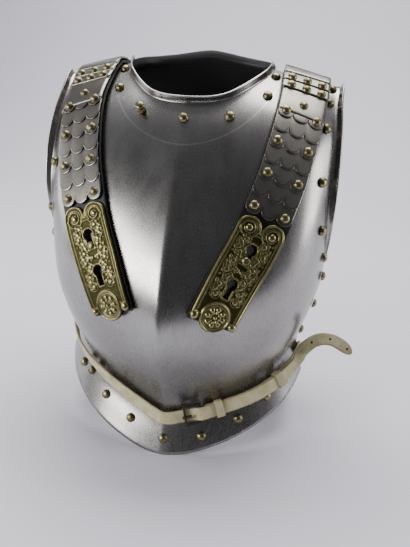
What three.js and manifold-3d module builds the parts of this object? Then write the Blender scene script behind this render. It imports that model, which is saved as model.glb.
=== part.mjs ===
// A cavalry cuirass standing on its rim: a keeled steel breastplate and a backplate, joined by two
// shoulder straps of scaled steel on black leather and by a buff leather waist belt.
//
// Millimetres, +Z up, the breast faces -Y, and +X is the wearer's left. The two halves are mirror
// images apart from the belt. The origin is the middle of the whole thing's box, on the surface
// that the rims stand on.

import * as THREE from 'three';
import Module from 'manifold-3d';
import { mergeVertices } from 'three/addons/utils/BufferGeometryUtils.js';

const wasm = await Module();
wasm.setup();

// ---------------------------------------------------------------- driving dimensions

const BREAST_GAUGE = 1.8; // sheet thickness of the breastplate
const BACK_GAUGE = 1.4; // sheet thickness of the backplate
const HEM = 3.2; // folded edge of the waist flange
const GAP = 0.35; // clearance that touching pieces keep

const RIVET = { radius: 5.2, height: 4.2 };
const SMALL_RIVET = { radius: 4.2, height: 3.2 };

// Sections of a plate, from the rim up. Each runs round one half of the body at about one height,
// from the middle line (inner y and z) to the flank (outer x, y and z).
//   open  angle at which the section leaves the middle line, in degrees back from straight across
//   turn  angle at which it reaches the flank, in degrees back from straight across
//   lead, wrap  lengths of the curve's handles, as shares of the section's chord
//   level  share of the section that keeps the height of the middle line
//   rise  power with which the rest climbs or falls to the flank's height
const SECTION_COLUMNS = ['yi', 'zi', 'xo', 'yo', 'zo', 'open', 'turn', 'lead', 'wrap', 'level', 'rise'];
const named = (columns, rows) => (
  rows.map((row) => Object.fromEntries(columns.map((name, k) => [name, row[k]])))
);
const BREAST_SECTIONS = named(SECTION_COLUMNS, [
  [-157, 0, 149, -36, 66, 8, 80, 0.4, 0.36, 0.09, 1.16], // rim
  [-148, 23, 143, -32, 85, 14, 80, 0.41, 0.37, 0.06, 1.18], // flare
  [-140, 48, 139, -28, 104, 20, 81, 0.42, 0.38, 0.02, 1.2], // waist
  [-150, 78, 144, -32, 129, 23, 83, 0.42, 0.4, 0, 1.45], // loin
  [-170, 122, 153, -36, 158, 24, 84, 0.4, 0.42, 0, 2], // belly
  [-179, 168, 160, -38, 188, 24, 85, 0.4, 0.44, 0, 2], // bulge
  [-171, 212, 161, -38, 214, 20, 86, 0.4, 0.46, 0, 1.5], // armpit
  [-151, 254, 162, -36, 246, 14, 86, 0.42, 0.46, 0, 1], // ribs
  [-127, 296, 163, -30, 288, 9, 85, 0.42, 0.46, 0, 1], // chest
  [-101, 336, 165, -18, 329, 6, 80, 0.42, 0.42, 0, 1], // collar
  [-75, 371, 167, 0, 362, 5, 68, 0.42, 0.38, 0, 1.2], // throat
  [-46, 397, 167, 12, 382, 4, 45, 0.4, 0.35, 0, 1.2], // yoke
  [-16, 416, 167, 20, 392, 3, 25, 0.4, 0.35, 0, 1.2], // ridge
  [16, 428, 166, 27, 396, 2, 12, 0.4, 0.35, 0, 1.2], // shoulder
]);

const BACK_SECTIONS = named(SECTION_COLUMNS, [
  [122, 0, 142.2, -44, 66, 3, 92, 0.42, 0.42, 0.5, 2], // rim
  [110, 22, 135.4, -40, 85, 3, 92, 0.42, 0.42, 0.4, 2], // flare
  [99, 48, 132.8, -36, 103, 3, 92, 0.42, 0.42, 0.2, 2], // waist
  [101, 80, 137.2, -40, 129, 3, 92, 0.42, 0.42, 0, 2], // loin
  [110, 124, 148, -44, 158, 3, 92, 0.42, 0.42, 0, 2], // belly
  [119, 170, 154.6, -46, 188, 3, 92, 0.42, 0.42, 0, 2], // bulge
  [126, 214, 155, -46, 214, 3, 92, 0.42, 0.42, 0, 1.5], // armpit
  [130, 256, 158, -34, 246, 3, 90, 0.42, 0.42, 0, 1], // ribs
  [130, 298, 162, -10, 288, 3, 88, 0.42, 0.42, 0, 1], // chest
  [126, 342, 165, 16, 326, 3, 80, 0.42, 0.4, 0, 1], // collar
  [115, 386, 167, 40, 354, 3, 62, 0.42, 0.38, 0, 1.2], // throat
  [89, 417, 168, 46, 374, 3, 40, 0.4, 0.35, 0, 1.2], // yoke
  [52, 427, 166, 40, 386, 2, 14, 0.4, 0.35, 0, 1.2], // ridge
  [12, 423.4, 163.5, 23, 390.2, 2, 12, 0.4, 0.35, 0, 1.2], // shoulder
]);

// The outline of each plate on its sections, v counting them from the rim: the neckline by sideways
// distance, and the armhole by its share u of the way round. The neck is cut as a low sweep up to
// the corner point and a steep side from there.
const BREAST_OUTLINE = {
  throat: 10.35,
  neckline: [{ x: 0, v: 10.35 }, { x: 24, v: 10.4 }, { x: 45, v: 10.62 }, { x: 62, v: 11.1 }],
  neckSide: [{ x: 62, v: 11.1 }, { x: 74, v: 11.65 }, { x: 81, v: 12.2 }, { x: 84, v: 13 }],
  shoulder: 158,
  armhole: [
    { v: 6, u: 1 }, { v: 7, u: 0.92 }, { v: 8, u: 0.87 }, { v: 9, u: 0.86 },
    { v: 10, u: 0.87 }, { v: 11, u: 0.9 }, { v: 12, u: 0.925 }, { v: 13, u: 0.935 },
  ],
};
const BACK_OUTLINE = {
  throat: 11.24,
  neckline: [{ x: 0, v: 11.24 }, { x: 24, v: 11.22 }, { x: 46, v: 11.26 }, { x: 67, v: 11.5 }],
  neckSide: [{ x: 67, v: 11.5 }, { x: 77, v: 11.85 }, { x: 84, v: 12.35 }, { x: 86, v: 13 }],
  shoulder: 157,
  armhole: [
    { v: 6, u: 1 }, { v: 7, u: 0.86 }, { v: 8, u: 0.78 }, { v: 9, u: 0.74 },
    { v: 10, u: 0.74 }, { v: 11, u: 0.79 }, { v: 12, u: 0.87 }, { v: 13, u: 0.94 },
  ],
};
// Quads of half a plate: under the neck and beside it, across and up.
const BREAST_GRID = { columns: 6, sideColumns: 5, rows: 21, sideRows: 5 };
const BACK_GRID = { columns: 6, sideColumns: 5, rows: 10, sideRows: 3 };

// Edges turned outward: how far the lip runs out along the sheet, then how far it stands.
const LIP = [{ run: 2.2, stand: 0.9 }, { run: 3.3, stand: 3 }, { run: 3.8, stand: 8.5 }];
const LIP_TAPER = 2.2; // sections over which an armhole's lip grows to its full height

// Rivets of the breastplate: on the waist flange and round the neck by sideways distance and
// section, and along each side by section at a fixed distance from the edge.
const FLANGE_RIVETS = {
  left: [
    { x: 0, v: 0.78 }, { x: 43, v: 0.62 }, { x: 82, v: 0.78 }, { x: 111, v: 1.02 }, { x: 129, v: 0.98 },
  ],
  right: [
    { x: 0, v: 0.78 }, { x: 43, v: 0.97 }, { x: 79, v: 1.1 }, { x: 104, v: 1.36 }, { x: 119, v: 1.12 },
  ],
};
const NECK_RIVETS = [{ x: 0, v: 9.95 }, { x: 47, v: 10.1 }, { x: 82, v: 11 }, { x: 86.5, v: 12.25 }];
const SIDE_RIVETS = [
  { v: 12.3, inset: 6.4 }, { v: 11, inset: 7.6 }, { v: 9.9, inset: 13 }, { v: 8.5, inset: 15 },
  { v: 7.3, inset: 14 }, { v: 6.3, inset: 11 }, { v: 5.4, inset: 9.5 }, { v: 4.2, inset: 9.5 },
  { v: 2.9, inset: 9.5 },
];
const KNOB = { side: -1, index: 1, radius: 5, height: 11 }; // the one tall stud of the neck row

// A strap's middle line: up the breast by sideways distance and height, then over the shoulder and
// down the back by sideways distance and section.
const STRAP_FRONT = [
  { x: 44, z: 164 }, { x: 53, z: 186 }, { x: 63, z: 208 }, { x: 73, z: 229 }, { x: 83, z: 249 },
  { x: 91, z: 268 }, { x: 98, z: 289 }, { x: 106, z: 314 }, { x: 112, z: 341 }, { x: 117, z: 368 },
  { x: 119, z: 387 },
];
const STRAP_CREST = [{ x: 119, v: 12.2 }, { x: 119, v: 12.95 }];
const STRAP_BACK = [{ x: 118, v: 12.1 }, { x: 116, v: 11.3 }, { x: 112, v: 10.5 }, { x: 107, v: 9.8 }];
const STRAP_LIFT = 1.4; // the strap's underside above the sheet, on its middle line
const LEATHER = { width: 53, thick: 2.6, from: 15, step: 14, window: { half: 8, below: 21, above: 8 } };
const SCALE = { pitch: 18, lap: 8, width: 51, thick: 1.3, rise: 1.7, from: 135, rows: 6, lobe: 7 };
const SHOULDER_PLATE = { from: 243, length: 52, centre: 37 };
const LAME = { from: 287, pitch: 14, lap: 6, width: 53, thick: 1.4, rise: 1.6, lift: 1.1 };

// The end plates' flat pattern: s along the strap, t across it, h up off its underside.
const END = {
  foot: 20, rosette: { s: 25, radius: 16.5 }, curls: { s: 121, t: 12.8, radius: 13 },
  half: 25.8, low: 3.2, thick: 2.2,
  bead: { s: 21, t: 21.6, radius: 4.2 }, rib: { t: 23.6, width: 3, height: 1.3 },
  keyholes: [101, 62], eye: 5.4, slot: 2.8, drop: 15,
};

// The belt hangs a little lower on the left, where its loose end pulls at it.
const BELT = { width: 15, thick: 3, lift: 4.6, gap: 0.6, step: 9, middle: 1.8, left: 1.55, right: 2.25 };
const BUCKLE = { at: 32, length: 22, inner: 9.2, bar: 2.8 };

const sideName = (sign) => (sign > 0 ? 'left' : 'right');

// ---------------------------------------------------------------- curves

const radians = THREE.MathUtils.degToRad;
const vector = (x, y, z) => new THREE.Vector3(x, y, z);

// A smooth curve through evenly spaced values.
function through(values, v) {
  const last = values.length - 1;
  const i = Math.min(Math.max(Math.floor(v), 0), last - 1);
  const t = v - i;
  const slope = (k) => {
    const rise = values[Math.min(k + 1, last)] - values[Math.max(k - 1, 0)];
    return k > 0 && k < last ? rise / 2 : rise;
  };
  const a = values[i];
  const b = values[i + 1];
  return a + t * slope(i) + t * t * (3 * (b - a) - 2 * slope(i) - slope(i + 1))
    + t * t * t * (2 * (a - b) + slope(i) + slope(i + 1));
}

const bezier = (a, b, c, d, t) => {
  const s = 1 - t;
  return s * s * s * a + 3 * s * s * t * b + 3 * s * t * t * c + t * t * t * d;
};

// A plate's smooth surface: u goes from the middle line to the flank, v counts the sections.
function plateSurface(sections, back = 1) {
  return (u, v) => {
    const at = (key) => through(sections.map((row) => row[key]), v);
    const [yi, zi, xo, yo, zo] = ['yi', 'zi', 'xo', 'yo', 'zo'].map(at);
    const chord = Math.hypot(xo, yo - yi);
    const [open, turn] = [radians(at('open')), radians(at('turn'))];
    const lead = at('lead') * chord;
    const wrap = at('wrap') * chord;
    const level = Math.max(0, at('level'));
    const climb = Math.max(0, (u - level) / (1 - level)) ** at('rise');
    return vector(
      bezier(0, lead * Math.cos(open), xo - wrap * Math.cos(turn), xo, u),
      bezier(yi, yi + back * lead * Math.sin(open), yo - back * wrap * Math.sin(turn), yo, u),
      zi + (zo - zi) * climb,
    );
  };
}

const breast = plateSurface(BREAST_SECTIONS);
const back = plateSurface(BACK_SECTIONS, -1);

// The smallest t of a rising function that reaches a value.
function solve(rising, value, low, high) {
  let [a, b] = [low, high];
  for (let step = 0; step < 40; step += 1) {
    const middle = (a + b) / 2;
    if (rising(middle) < value) a = middle; else b = middle;
  }
  return (a + b) / 2;
}

const shareAt = (surface, x, v) => solve((u) => surface(u, v).x, x, 0, 1.2);

// The point and outward normal of a surface at a share and section.
function place(surface, facing, u, v) {
  const step = 0.01;
  const across = surface(u + step, v).sub(surface(u - step, v));
  const up = surface(u, v + step).sub(surface(u, v - step));
  return { point: surface(u, v), normal: across.cross(up).normalize().multiplyScalar(facing) };
}

// The same at a sideways distance and a height.
function placeAt(surface, facing, x, z) {
  const v = solve((row) => surface(shareAt(surface, x, row), row).z, z, 0.5, 13);
  return place(surface, facing, shareAt(surface, x, v), v);
}

// ---------------------------------------------------------------- sheets

// An open sheet: points, and quads that run counterclockwise seen from outside.
class Sheet {
  points = [];
  quads = [];

  add(point) {
    this.points.push(point);
    return this.points.length - 1;
  }

  normals() {
    const sums = this.points.map(() => vector(0, 0, 0));
    for (const [a, b, c, d] of this.quads) {
      const p = this.points;
      const n = p[c].clone().sub(p[a]).cross(p[d].clone().sub(p[b]));
      for (const k of [a, b, c, d]) sums[k].add(n);
    }
    return sums.map((n) => n.normalize());
  }

  // Closes the sheet into a solid, given the inside point of each outside point.
  close(inside) {
    const count = this.points.length;
    const points = [...this.points, ...inside];
    const faces = [];
    const edges = new Map();
    for (const quad of this.quads) {
      const [a, b, c, d] = quad;
      faces.push([a, b, c], [a, c, d]);
      faces.push([a + count, c + count, b + count], [a + count, d + count, c + count]);
      quad.forEach((k, i) => edges.set(`${k},${quad[(i + 1) % 4]}`, [k, quad[(i + 1) % 4]]));
    }
    for (const [a, b] of edges.values()) {
      if (edges.has(`${b},${a}`)) continue;
      faces.push([b, a, a + count], [b, a + count, b + count]);
    }
    return fromFaces(points, faces);
  }
}

function fromFaces(points, faces) {
  const geometry = new THREE.BufferGeometry();
  const values = points.flatMap((p) => [p.x, p.y, p.z]);
  geometry.setAttribute('position', new THREE.Float32BufferAttribute(values, 3));
  geometry.setIndex(faces.flat());
  return geometry;
}

// A patch between four curves of the (u, v) plane, s across and w up.
function patch(bottom, top, left, right) {
  return (s, w) => {
    const [b, t, l, r] = [bottom(s), top(s), left(w), right(w)];
    const corner = [bottom(0), bottom(1), top(0), top(1)];
    return [0, 1].map((k) => (1 - w) * b[k] + w * t[k] + (1 - s) * l[k] + s * r[k]
      - (1 - s) * (1 - w) * corner[0][k] - s * (1 - w) * corner[1][k]
      - (1 - s) * w * corner[2][k] - s * w * corner[3][k]);
  };
}

const line = (a, b) => (t) => [a[0] + (b[0] - a[0]) * t, a[1] + (b[1] - a[1]) * t];

// The grid of half a plate in its (u, v) plane, from its outline. The rows under the neck run the
// whole width, and the rows beside it only the shoulder's.
function outlineGrid(surface, outline, { columns, sideColumns, rows, sideRows }) {
  const topSection = BREAST_SECTIONS.length - 1;
  const neckCurve = (table) => (t) => {
    const index = t * (table.length - 1);
    const v = through(table.map((row) => row.v), index);
    return [shareAt(surface, through(table.map((row) => row.x), index), v), v];
  };
  const armhole = (v) => (v <= 6 ? 1 : through(outline.armhole.map((row) => row.u), v - 6));
  const side = (w) => [armhole(w * topSection), w * topSection];
  const level = rows / (rows + sideRows);
  const neck = neckCurve(outline.neckline);
  const steep = neckCurve(outline.neckSide);
  const corner = neck(1);
  const split = 0.45;
  const crossing = line(corner, side(level));
  const foot = line([0, 0], [split, 0]);
  const under = patch(foot, neck, line([0, 0], [0, outline.throat]), line([split, 0], corner));
  const flank = patch(line([split, 0], [1, 0]), crossing, line([split, 0], corner), (w) => side(w * level));
  const shoulderEdge = line(steep(1), [shareAt(surface, outline.shoulder, topSection), topSection]);
  const yoke = patch(crossing, shoulderEdge, steep, (w) => side(level + w * (1 - level)));
  return (i, j) => {
    if (j > rows) return yoke((i - columns) / sideColumns, (j - rows) / sideRows);
    if (i > columns) return flank((i - columns) / sideColumns, j / rows);
    return under(i / columns, j / rows);
  };
}

// A whole plate: its two halves, and its neck and armhole edges turned outward.
function plateSheet(surface, outline, grid, facing) {
  const { columns, sideColumns, rows, sideRows } = grid;
  const [last, top] = [columns + sideColumns, rows + sideRows];
  const at = outlineGrid(surface, outline, grid);
  const sheet = new Sheet();
  const index = new Map();
  for (let j = 0; j <= top; j += 1) {
    for (let i = -last; i <= last; i += 1) {
      if (j > rows && Math.abs(i) < columns) continue;
      const [u, v] = at(Math.abs(i), j);
      const point = surface(u, v);
      if (i < 0) point.x = -point.x;
      if (i === 0) point.x = 0;
      index.set(`${i},${j}`, sheet.add(point));
    }
  }
  const quad = (a, b, c, d) => sheet.quads.push(facing > 0 ? [a, b, c, d] : [a, d, c, b]);
  for (let j = 0; j < top; j += 1) {
    for (let i = -last; i < last; i += 1) {
      const cell = [[i, j], [i + 1, j], [i + 1, j + 1], [i, j + 1]].map(([a, b]) => index.get(`${a},${b}`));
      if (cell.every((k) => k !== undefined)) quad(...cell);
    }
  }
  const normals = sheet.normals();

  // Turns out one run of edge points, ordered with the plate on their right seen from outside.
  const turnOut = (edge, height) => {
    const lips = edge.map((k, n) => {
      const before = sheet.points[edge[Math.max(n - 1, 0)]];
      const after = sheet.points[edge[Math.min(n + 1, edge.length - 1)]];
      const along = after.clone().sub(before).normalize();
      const out = normals[k].clone().cross(along).normalize();
      return LIP.map(({ run, stand }) => sheet.add(sheet.points[k].clone()
        .addScaledVector(out, run * Math.min(1, height(n) * 1.5))
        .addScaledVector(normals[k], stand * height(n))));
    });
    for (let n = 0; n + 1 < edge.length; n += 1) {
      const [a, b] = [[edge[n], ...lips[n]], [edge[n + 1], ...lips[n + 1]]];
      for (let m = 0; m + 1 < a.length; m += 1) sheet.quads.push([a[m], b[m], b[m + 1], a[m + 1]]);
    }
  };
  const neck = [];
  for (let j = top; j > rows; j -= 1) neck.push(index.get(`${-columns},${j}`));
  for (let i = -columns; i <= columns; i += 1) neck.push(index.get(`${i},${rows}`));
  for (let j = rows + 1; j <= top; j += 1) neck.push(index.get(`${columns},${j}`));
  const foot = Math.round((6 / (BREAST_SECTIONS.length - 1)) * top);
  const taper = (LIP_TAPER / (BREAST_SECTIONS.length - 1)) * top;
  const armhole = (sign) => {
    const edge = [];
    for (let j = foot; j <= top; j += 1) edge.push(index.get(`${sign * last},${j}`));
    return edge;
  };
  const grow = (n) => Math.min(1, 0.15 + (0.85 * n) / taper);
  const left = armhole(-1);
  const right = armhole(1).reverse();
  const runs = [[neck, () => 1], [left, grow], [right, (n) => grow(right.length - 1 - n)]];
  for (const [edge, height] of runs) {
    if (facing > 0) turnOut(edge, height);
    else turnOut(edge.reverse(), (n) => height(edge.length - 1 - n));
  }
  return { sheet, rim: Array.from({ length: 2 * last + 1 }, (_, k) => index.get(`${k - last},0`)) };
}

// The plate as a solid of its gauge, with a thicker hem that stands flat along the rim.
function plate(surface, outline, grid, facing, gauge) {
  const { sheet, rim } = plateSheet(surface, outline, grid, facing);
  const normals = sheet.normals();
  const inside = sheet.points.map((p, k) => p.clone().addScaledVector(normals[k], -gauge));
  for (const k of rim) {
    const level = normals[k].clone().setZ(0).normalize();
    inside[k] = sheet.points[k].clone().addScaledVector(level, -HEM);
  }
  return sheet.close(inside);
}

// ---------------------------------------------------------------- solids

// A closed solid as a manifold, and back as geometry.
function solid(geometry) {
  const bare = geometry.clone();
  for (const name of ['normal', 'uv']) bare.deleteAttribute(name);
  const merged = mergeVertices(bare, 1e-4);
  return new wasm.Manifold(new wasm.Mesh({
    numProp: 3,
    vertProperties: new Float32Array(merged.attributes.position.array),
    triVerts: new Uint32Array(merged.index.array),
  }));
}

function surfaceOf(manifold) {
  const mesh = manifold.getMesh();
  const geometry = new THREE.BufferGeometry();
  geometry.setAttribute('position', new THREE.BufferAttribute(new Float32Array(mesh.vertProperties), 3));
  geometry.setIndex(Array.from(mesh.triVerts));
  return geometry;
}

const join = (solids) => solids.reduce((all, one) => all.add(one));

// A flat outline in (x, y), pulled up from one height to another.
function slab(outline, low, high) {
  const options = { depth: high - low, bevelEnabled: false, curveSegments: 7 };
  const geometry = new THREE.ExtrudeGeometry(outline, options);
  return geometry.translate(0, 0, low);
}

function rectangle(x0, x1, y0, y1) {
  return new THREE.Shape([[x0, y0], [x1, y0], [x1, y1], [x0, y1]].map(([x, y]) => new THREE.Vector2(x, y)));
}

// A rivet head: a dome with its flat foot at z = low.
function dome({ radius, height }, sides, low = 0) {
  const [shoulder, cap] = [[radius * 0.94, height * 0.45], [radius * 0.6, height * 0.86]];
  const profile = [[0, 0], [radius, 0], shoulder, cap, [0, height]];
  const geometry = new THREE.LatheGeometry(profile.map(([x, y]) => new THREE.Vector2(x, y)), sides);
  return geometry.rotateX(Math.PI / 2).translate(0, 0, low);
}

// Places a geometry's z axis along a normal.
function stand(mesh, point, normal) {
  mesh.quaternion.setFromUnitVectors(vector(0, 0, 1), normal);
  mesh.position.copy(point);
  return mesh;
}

// ---------------------------------------------------------------- ribbons

// A ribbon's frames along a smooth line through given places, each with a point and a normal.
// Its own coordinates are s along the line, t across it, and h off its underside.
class Ribbon {
  constructor(places, lift) {
    const points = places.map(({ point, normal }) => point.clone().addScaledVector(normal, lift));
    const line = new THREE.CatmullRomCurve3(points, false, 'centripetal');
    const samples = 400;
    this.frames = [];
    let s = 0;
    for (let k = 0; k <= samples; k += 1) {
      const share = k / samples;
      const point = line.getPoint(share);
      if (k > 0) s += point.distanceTo(this.frames[k - 1].point);
      const index = share * (places.length - 1);
      const blend = ['x', 'y', 'z'].map((axis) => through(places.map(({ normal }) => normal[axis]), index));
      const along = line.getTangent(share);
      const across = vector(...blend).cross(along).normalize();
      this.frames.push({ s, point, across, normal: along.clone().cross(across).normalize() });
    }
    this.length = s;
  }

  at(s) {
    let k = this.frames.findIndex((frame) => frame.s > s);
    if (k < 0) k = this.frames.length - 1;
    k = Math.max(k, 1);
    const [a, b] = [this.frames[k - 1], this.frames[k]];
    const share = (s - a.s) / (b.s - a.s);
    const keys = ['point', 'across', 'normal'];
    return Object.fromEntries(keys.map((key) => [key, a[key].clone().lerp(b[key], share)]));
  }

  // Bends a flat geometry, with x = s, y = t and z = h, onto the ribbon.
  bend(geometry) {
    const position = geometry.attributes.position;
    for (let k = 0; k < position.count; k += 1) {
      const frame = this.at(position.getX(k));
      const point = frame.point.addScaledVector(frame.across, position.getY(k))
        .addScaledVector(frame.normal, position.getZ(k));
      position.setXYZ(k, point.x, point.y, point.z);
    }
    return geometry;
  }
}


// A flat band from s0 to s1, in steps, so that it can follow a bend.
function band(s0, s1, t0, t1, low, high, step = 12) {
  const count = Math.max(1, Math.round((s1 - s0) / step));
  return new THREE.BoxGeometry(s1 - s0, t1 - t0, high - low, count, 1, 1)
    .translate((s0 + s1) / 2, (t0 + t1) / 2, (low + high) / 2);
}

// Bends flat pieces onto a ribbon, joins them there, and cuts the bent cutters out of them.
function bent(ribbon, pieces, cutters = []) {
  const bend = (geometry) => solid(ribbon.bend(geometry));
  return surfaceOf(cutters.reduce((left, cutter) => left.subtract(bend(cutter)), join(pieces.map(bend))));
}

// The same geometry on the other side of the middle plane.
function mirrored(geometry) {
  const copy = geometry.clone();
  copy.applyMatrix4(new THREE.Matrix4().makeScale(-1, 1, 1));
  const index = copy.index.array;
  for (let k = 0; k < index.length; k += 3) [index[k], index[k + 1]] = [index[k + 1], index[k]];
  return copy;
}

// ---------------------------------------------------------------- straps

const crest = STRAP_CREST.map(({ x, v }) => place(breast, 1, shareAt(breast, x, v), v));
for (const spot of crest) spot.point.addScaledVector(spot.normal, 1);
const strap = new Ribbon([
  ...STRAP_FRONT.map(({ x, z }) => placeAt(breast, 1, x, z)),
  ...crest,
  ...STRAP_BACK.map(({ x, v }) => place(back, -1, shareAt(back, x, v), v)),
], STRAP_LIFT);

function disc(x, y, radius, low, high) {
  const shape = new THREE.Shape();
  shape.absarc(x, y, radius, 0, Math.PI * 2);
  return slab(shape, low, high);
}

// A row of three rounded scales across the strap, from its lobes' tips up to its straight top.
function lobedRow(tip, top, width) {
  const shape = new THREE.Shape();
  const radius = width / 6;
  shape.moveTo(top, -width / 2);
  shape.lineTo(tip + SCALE.lobe, -width / 2);
  for (const centre of [-2 * radius, 0, 2 * radius]) {
    for (let k = 1; k <= 4; k += 1) {
      const angle = (Math.PI * k) / 4;
      const fall = k === 4 ? 0 : Math.sin(angle);
      shape.lineTo(tip + SCALE.lobe - SCALE.lobe * fall, centre - radius * Math.cos(angle));
    }
  }
  shape.lineTo(top, width / 2);
  return shape;
}

// Leans a flat piece so that its lower end, at s0, stands up by rise and its upper end lies flat.
function lean(geometry, s0, s1, rise) {
  const position = geometry.attributes.position;
  for (let k = 0; k < position.count; k += 1) {
    position.setZ(k, position.getZ(k) + rise * (1 - (position.getX(k) - s0) / (s1 - s0)));
  }
  return geometry;
}

const ON_LEATHER = LEATHER.thick + GAP + 0.25;
const headAt = (size, s, t, low) => dome(size, 6, low - 0.6).translate(s, t, 0);

// The leather: a band with a window behind each keyhole.
function strapLeather() {
  const { width, thick, from, window, step } = LEATHER;
  const windows = END.keyholes.map((s) => [s - window.below, s + window.above]).sort((a, b) => a[0] - b[0]);
  const stops = [from, ...windows.flat(), strap.length - 4];
  const rows = stops.slice(1).flatMap((end, k) => {
    const count = Math.max(1, Math.round((end - stops[k]) / step));
    return Array.from({ length: count }, (_, n) => stops[k] + ((end - stops[k]) * n) / count);
  });
  rows.push(strap.length - 4);
  const columns = [-width / 2, -window.half, window.half, width / 2];
  const sheet = new Sheet();
  const index = rows.map((s) => columns.map((t) => sheet.add(vector(s, t, thick))));
  for (let j = 0; j + 1 < rows.length; j += 1) {
    const middle = (rows[j] + rows[j + 1]) / 2;
    for (let i = 0; i < 3; i += 1) {
      if (i === 1 && windows.some(([low, high]) => middle > low && middle < high)) continue;
      sheet.quads.push([index[j][i], index[j + 1][i], index[j + 1][i + 1], index[j][i + 1]]);
    }
  }
  return strap.bend(sheet.close(sheet.points.map((p) => p.clone().setZ(0))));
}

function strapScales() {
  const pieces = [];
  for (let row = 0; row < SCALE.rows; row += 1) {
    const tip = SCALE.from + row * SCALE.pitch;
    const top = tip + SCALE.pitch + (row < SCALE.rows - 1 ? SCALE.lap : -1);
    const plain = slab(lobedRow(tip, top, SCALE.width), ON_LEATHER, ON_LEATHER + SCALE.thick);
    pieces.push(lean(plain, tip, top, SCALE.rise));
    if (row % 2) continue;
    for (const t of [-1, 1]) {
      pieces.push(headAt(SMALL_RIVET, tip + 8.5, (t * SCALE.width) / 3, ON_LEATHER + 2.2));
    }
  }
  return bent(strap, pieces);
}

function strapShoulderPlate() {
  const { from, length, centre } = SHOULDER_PLATE;
  const top = from + length - 8;
  const [low, high, half] = [ON_LEATHER, ON_LEATHER + 1.6, SCALE.width / 2];
  const flat = [
    slab(lobedRow(from, from + 14, SCALE.width), low, high),
    band(from + 13, top, -half, half, low, high, 8),
  ];
  const pieces = flat.map((part) => lean(part, from, top, 0.8));
  for (const t of [-1, 1]) {
    pieces.push(headAt(SMALL_RIVET, from + 9, (t * SCALE.width) / 3, ON_LEATHER + 2.2));
  }
  pieces.push(headAt(SMALL_RIVET, from + centre, 0, ON_LEATHER + 1.7));
  return bent(strap, pieces);
}

function strapLames() {
  const pieces = [];
  const rows = Math.floor((strap.length - 8 - LAME.from) / LAME.pitch);
  for (let row = 0; row < rows; row += 1) {
    const foot = LAME.from + row * LAME.pitch;
    const top = foot + LAME.pitch + (row < rows - 1 ? LAME.lap : 0);
    const low = ON_LEATHER + LAME.lift;
    const plain = slab(rectangle(foot, top, -LAME.width / 2, LAME.width / 2), low, low + LAME.thick);
    pieces.push(lean(plain, foot, top, LAME.rise));
    if (row > 1 && row < rows - 1) continue;
    for (const t of [-1, 0, 1]) {
      pieces.push(headAt(SMALL_RIVET, foot + 5.5, (t * SCALE.width) / 2.9, low + 2.2));
    }
  }
  return bent(strap, pieces);
}

function endPlate() {
  const { rosette, curls, half, low, thick, bead, rib, keyholes, eye, slot, drop } = END;
  const top = low + thick;
  const body = [
    band(END.foot, curls.s, -half, half, low, top),
    disc(rosette.s, 0, rosette.radius, low + 0.3, top + 1.4),
    dome({ radius: rosette.radius - 3, height: 3.4 }, 12, top + 0.6).translate(rosette.s, 0, 0),
  ];
  for (const side of [-1, 1]) {
    body.push(disc(curls.s, side * curls.t, curls.radius, low + 0.3, top + 0.7));
    body.push(dome({ radius: 4.2, height: 3 }, 8, top).translate(curls.s, side * curls.t, 0));
    body.push(dome({ radius: bead.radius, height: 5 }, 8, low + 0.4).translate(bead.s, side * bead.t, 0));
    const edge = [side * rib.t - rib.width / 2, side * rib.t + rib.width / 2];
    body.push(band(END.foot + 8, curls.s - 4, ...edge, top - 0.8, top + rib.height));
  }
  const holes = keyholes.flatMap((s) => [
    disc(s, 0, eye, 0, 12),
    slab(rectangle(s - drop, s, -slot, slot), 0, 12),
  ]);
  const notch = disc(curls.s + 4, 0, 4, 0, 12);
  return bent(strap, body, [...holes, notch]);
}

// The stud that the upper keyhole hangs on, with its neck in the keyhole's slot.
function strapStud() {
  const neck = disc(0, 0, 2.2, -STRAP_LIFT + GAP, END.low + END.thick + 1);
  const head = dome({ radius: 4.6, height: 3.6 }, 10, END.low + END.thick + GAP);
  return surfaceOf(solid(neck).add(solid(head)));
}

// ---------------------------------------------------------------- belt

// The belt's line round the waist from the back of one flank to the back of the other.
const flankPlaces = (side) => {
  const section = (u) => BELT.middle + (BELT[sideName(side)] - BELT.middle) * Math.min(1, u * 2);
  const mirror = ({ point, normal }) => ({
    point: point.multiply(vector(side, 1, 1)),
    normal: normal.multiply(vector(side, 1, 1)),
  });
  const shares = [0.06, 0.14, 0.25, 0.37, 0.5, 0.62, 0.74, 0.86, 0.97];
  const front = shares.map((u) => place(breast, 1, u, section(u)));
  const behind = [0.84, 0.7].map((u) => place(back, -1, u, section(u)));
  for (const spot of behind) spot.point.addScaledVector(spot.normal, 1.6);
  return [...front, ...behind].map(mirror);
};
const keel = place(breast, 1, 0, BELT.middle);
keel.normal.setX(0).normalize();
keel.point.addScaledVector(keel.normal, 0.8);
const waist = new Ribbon([...flankPlaces(-1).reverse(), keel, ...flankPlaces(1)], BELT.lift);
const middle = waist.length / 2;

// A strip of belt from s0 to s1 whose underside is at a height given along it.
function strip(line, s0, s1, height) {
  const geometry = band(s0, s1, -BELT.width / 2, BELT.width / 2, 0, BELT.thick, BELT.step);
  const position = geometry.attributes.position;
  for (let k = 0; k < position.count; k += 1) position.setZ(k, position.getZ(k) + height(position.getX(k)));
  return line.bend(geometry);
}

// The hand-placed line of the tail's loose end, beyond the last keeper.
const TAIL_END = [
  { x: 149, y: -50, z: 100 }, { x: 161, y: -46, z: 109 }, { x: 175, y: -46, z: 112 },
  { x: 189, y: -50, z: 109 }, { x: 203, y: -56, z: 101 },
];
const TAIL_NORMAL = vector(0.2, -0.66, 0.72).normalize();
const OVER = BELT.thick + BELT.gap; // the tail's height where it lies on the other half

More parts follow.
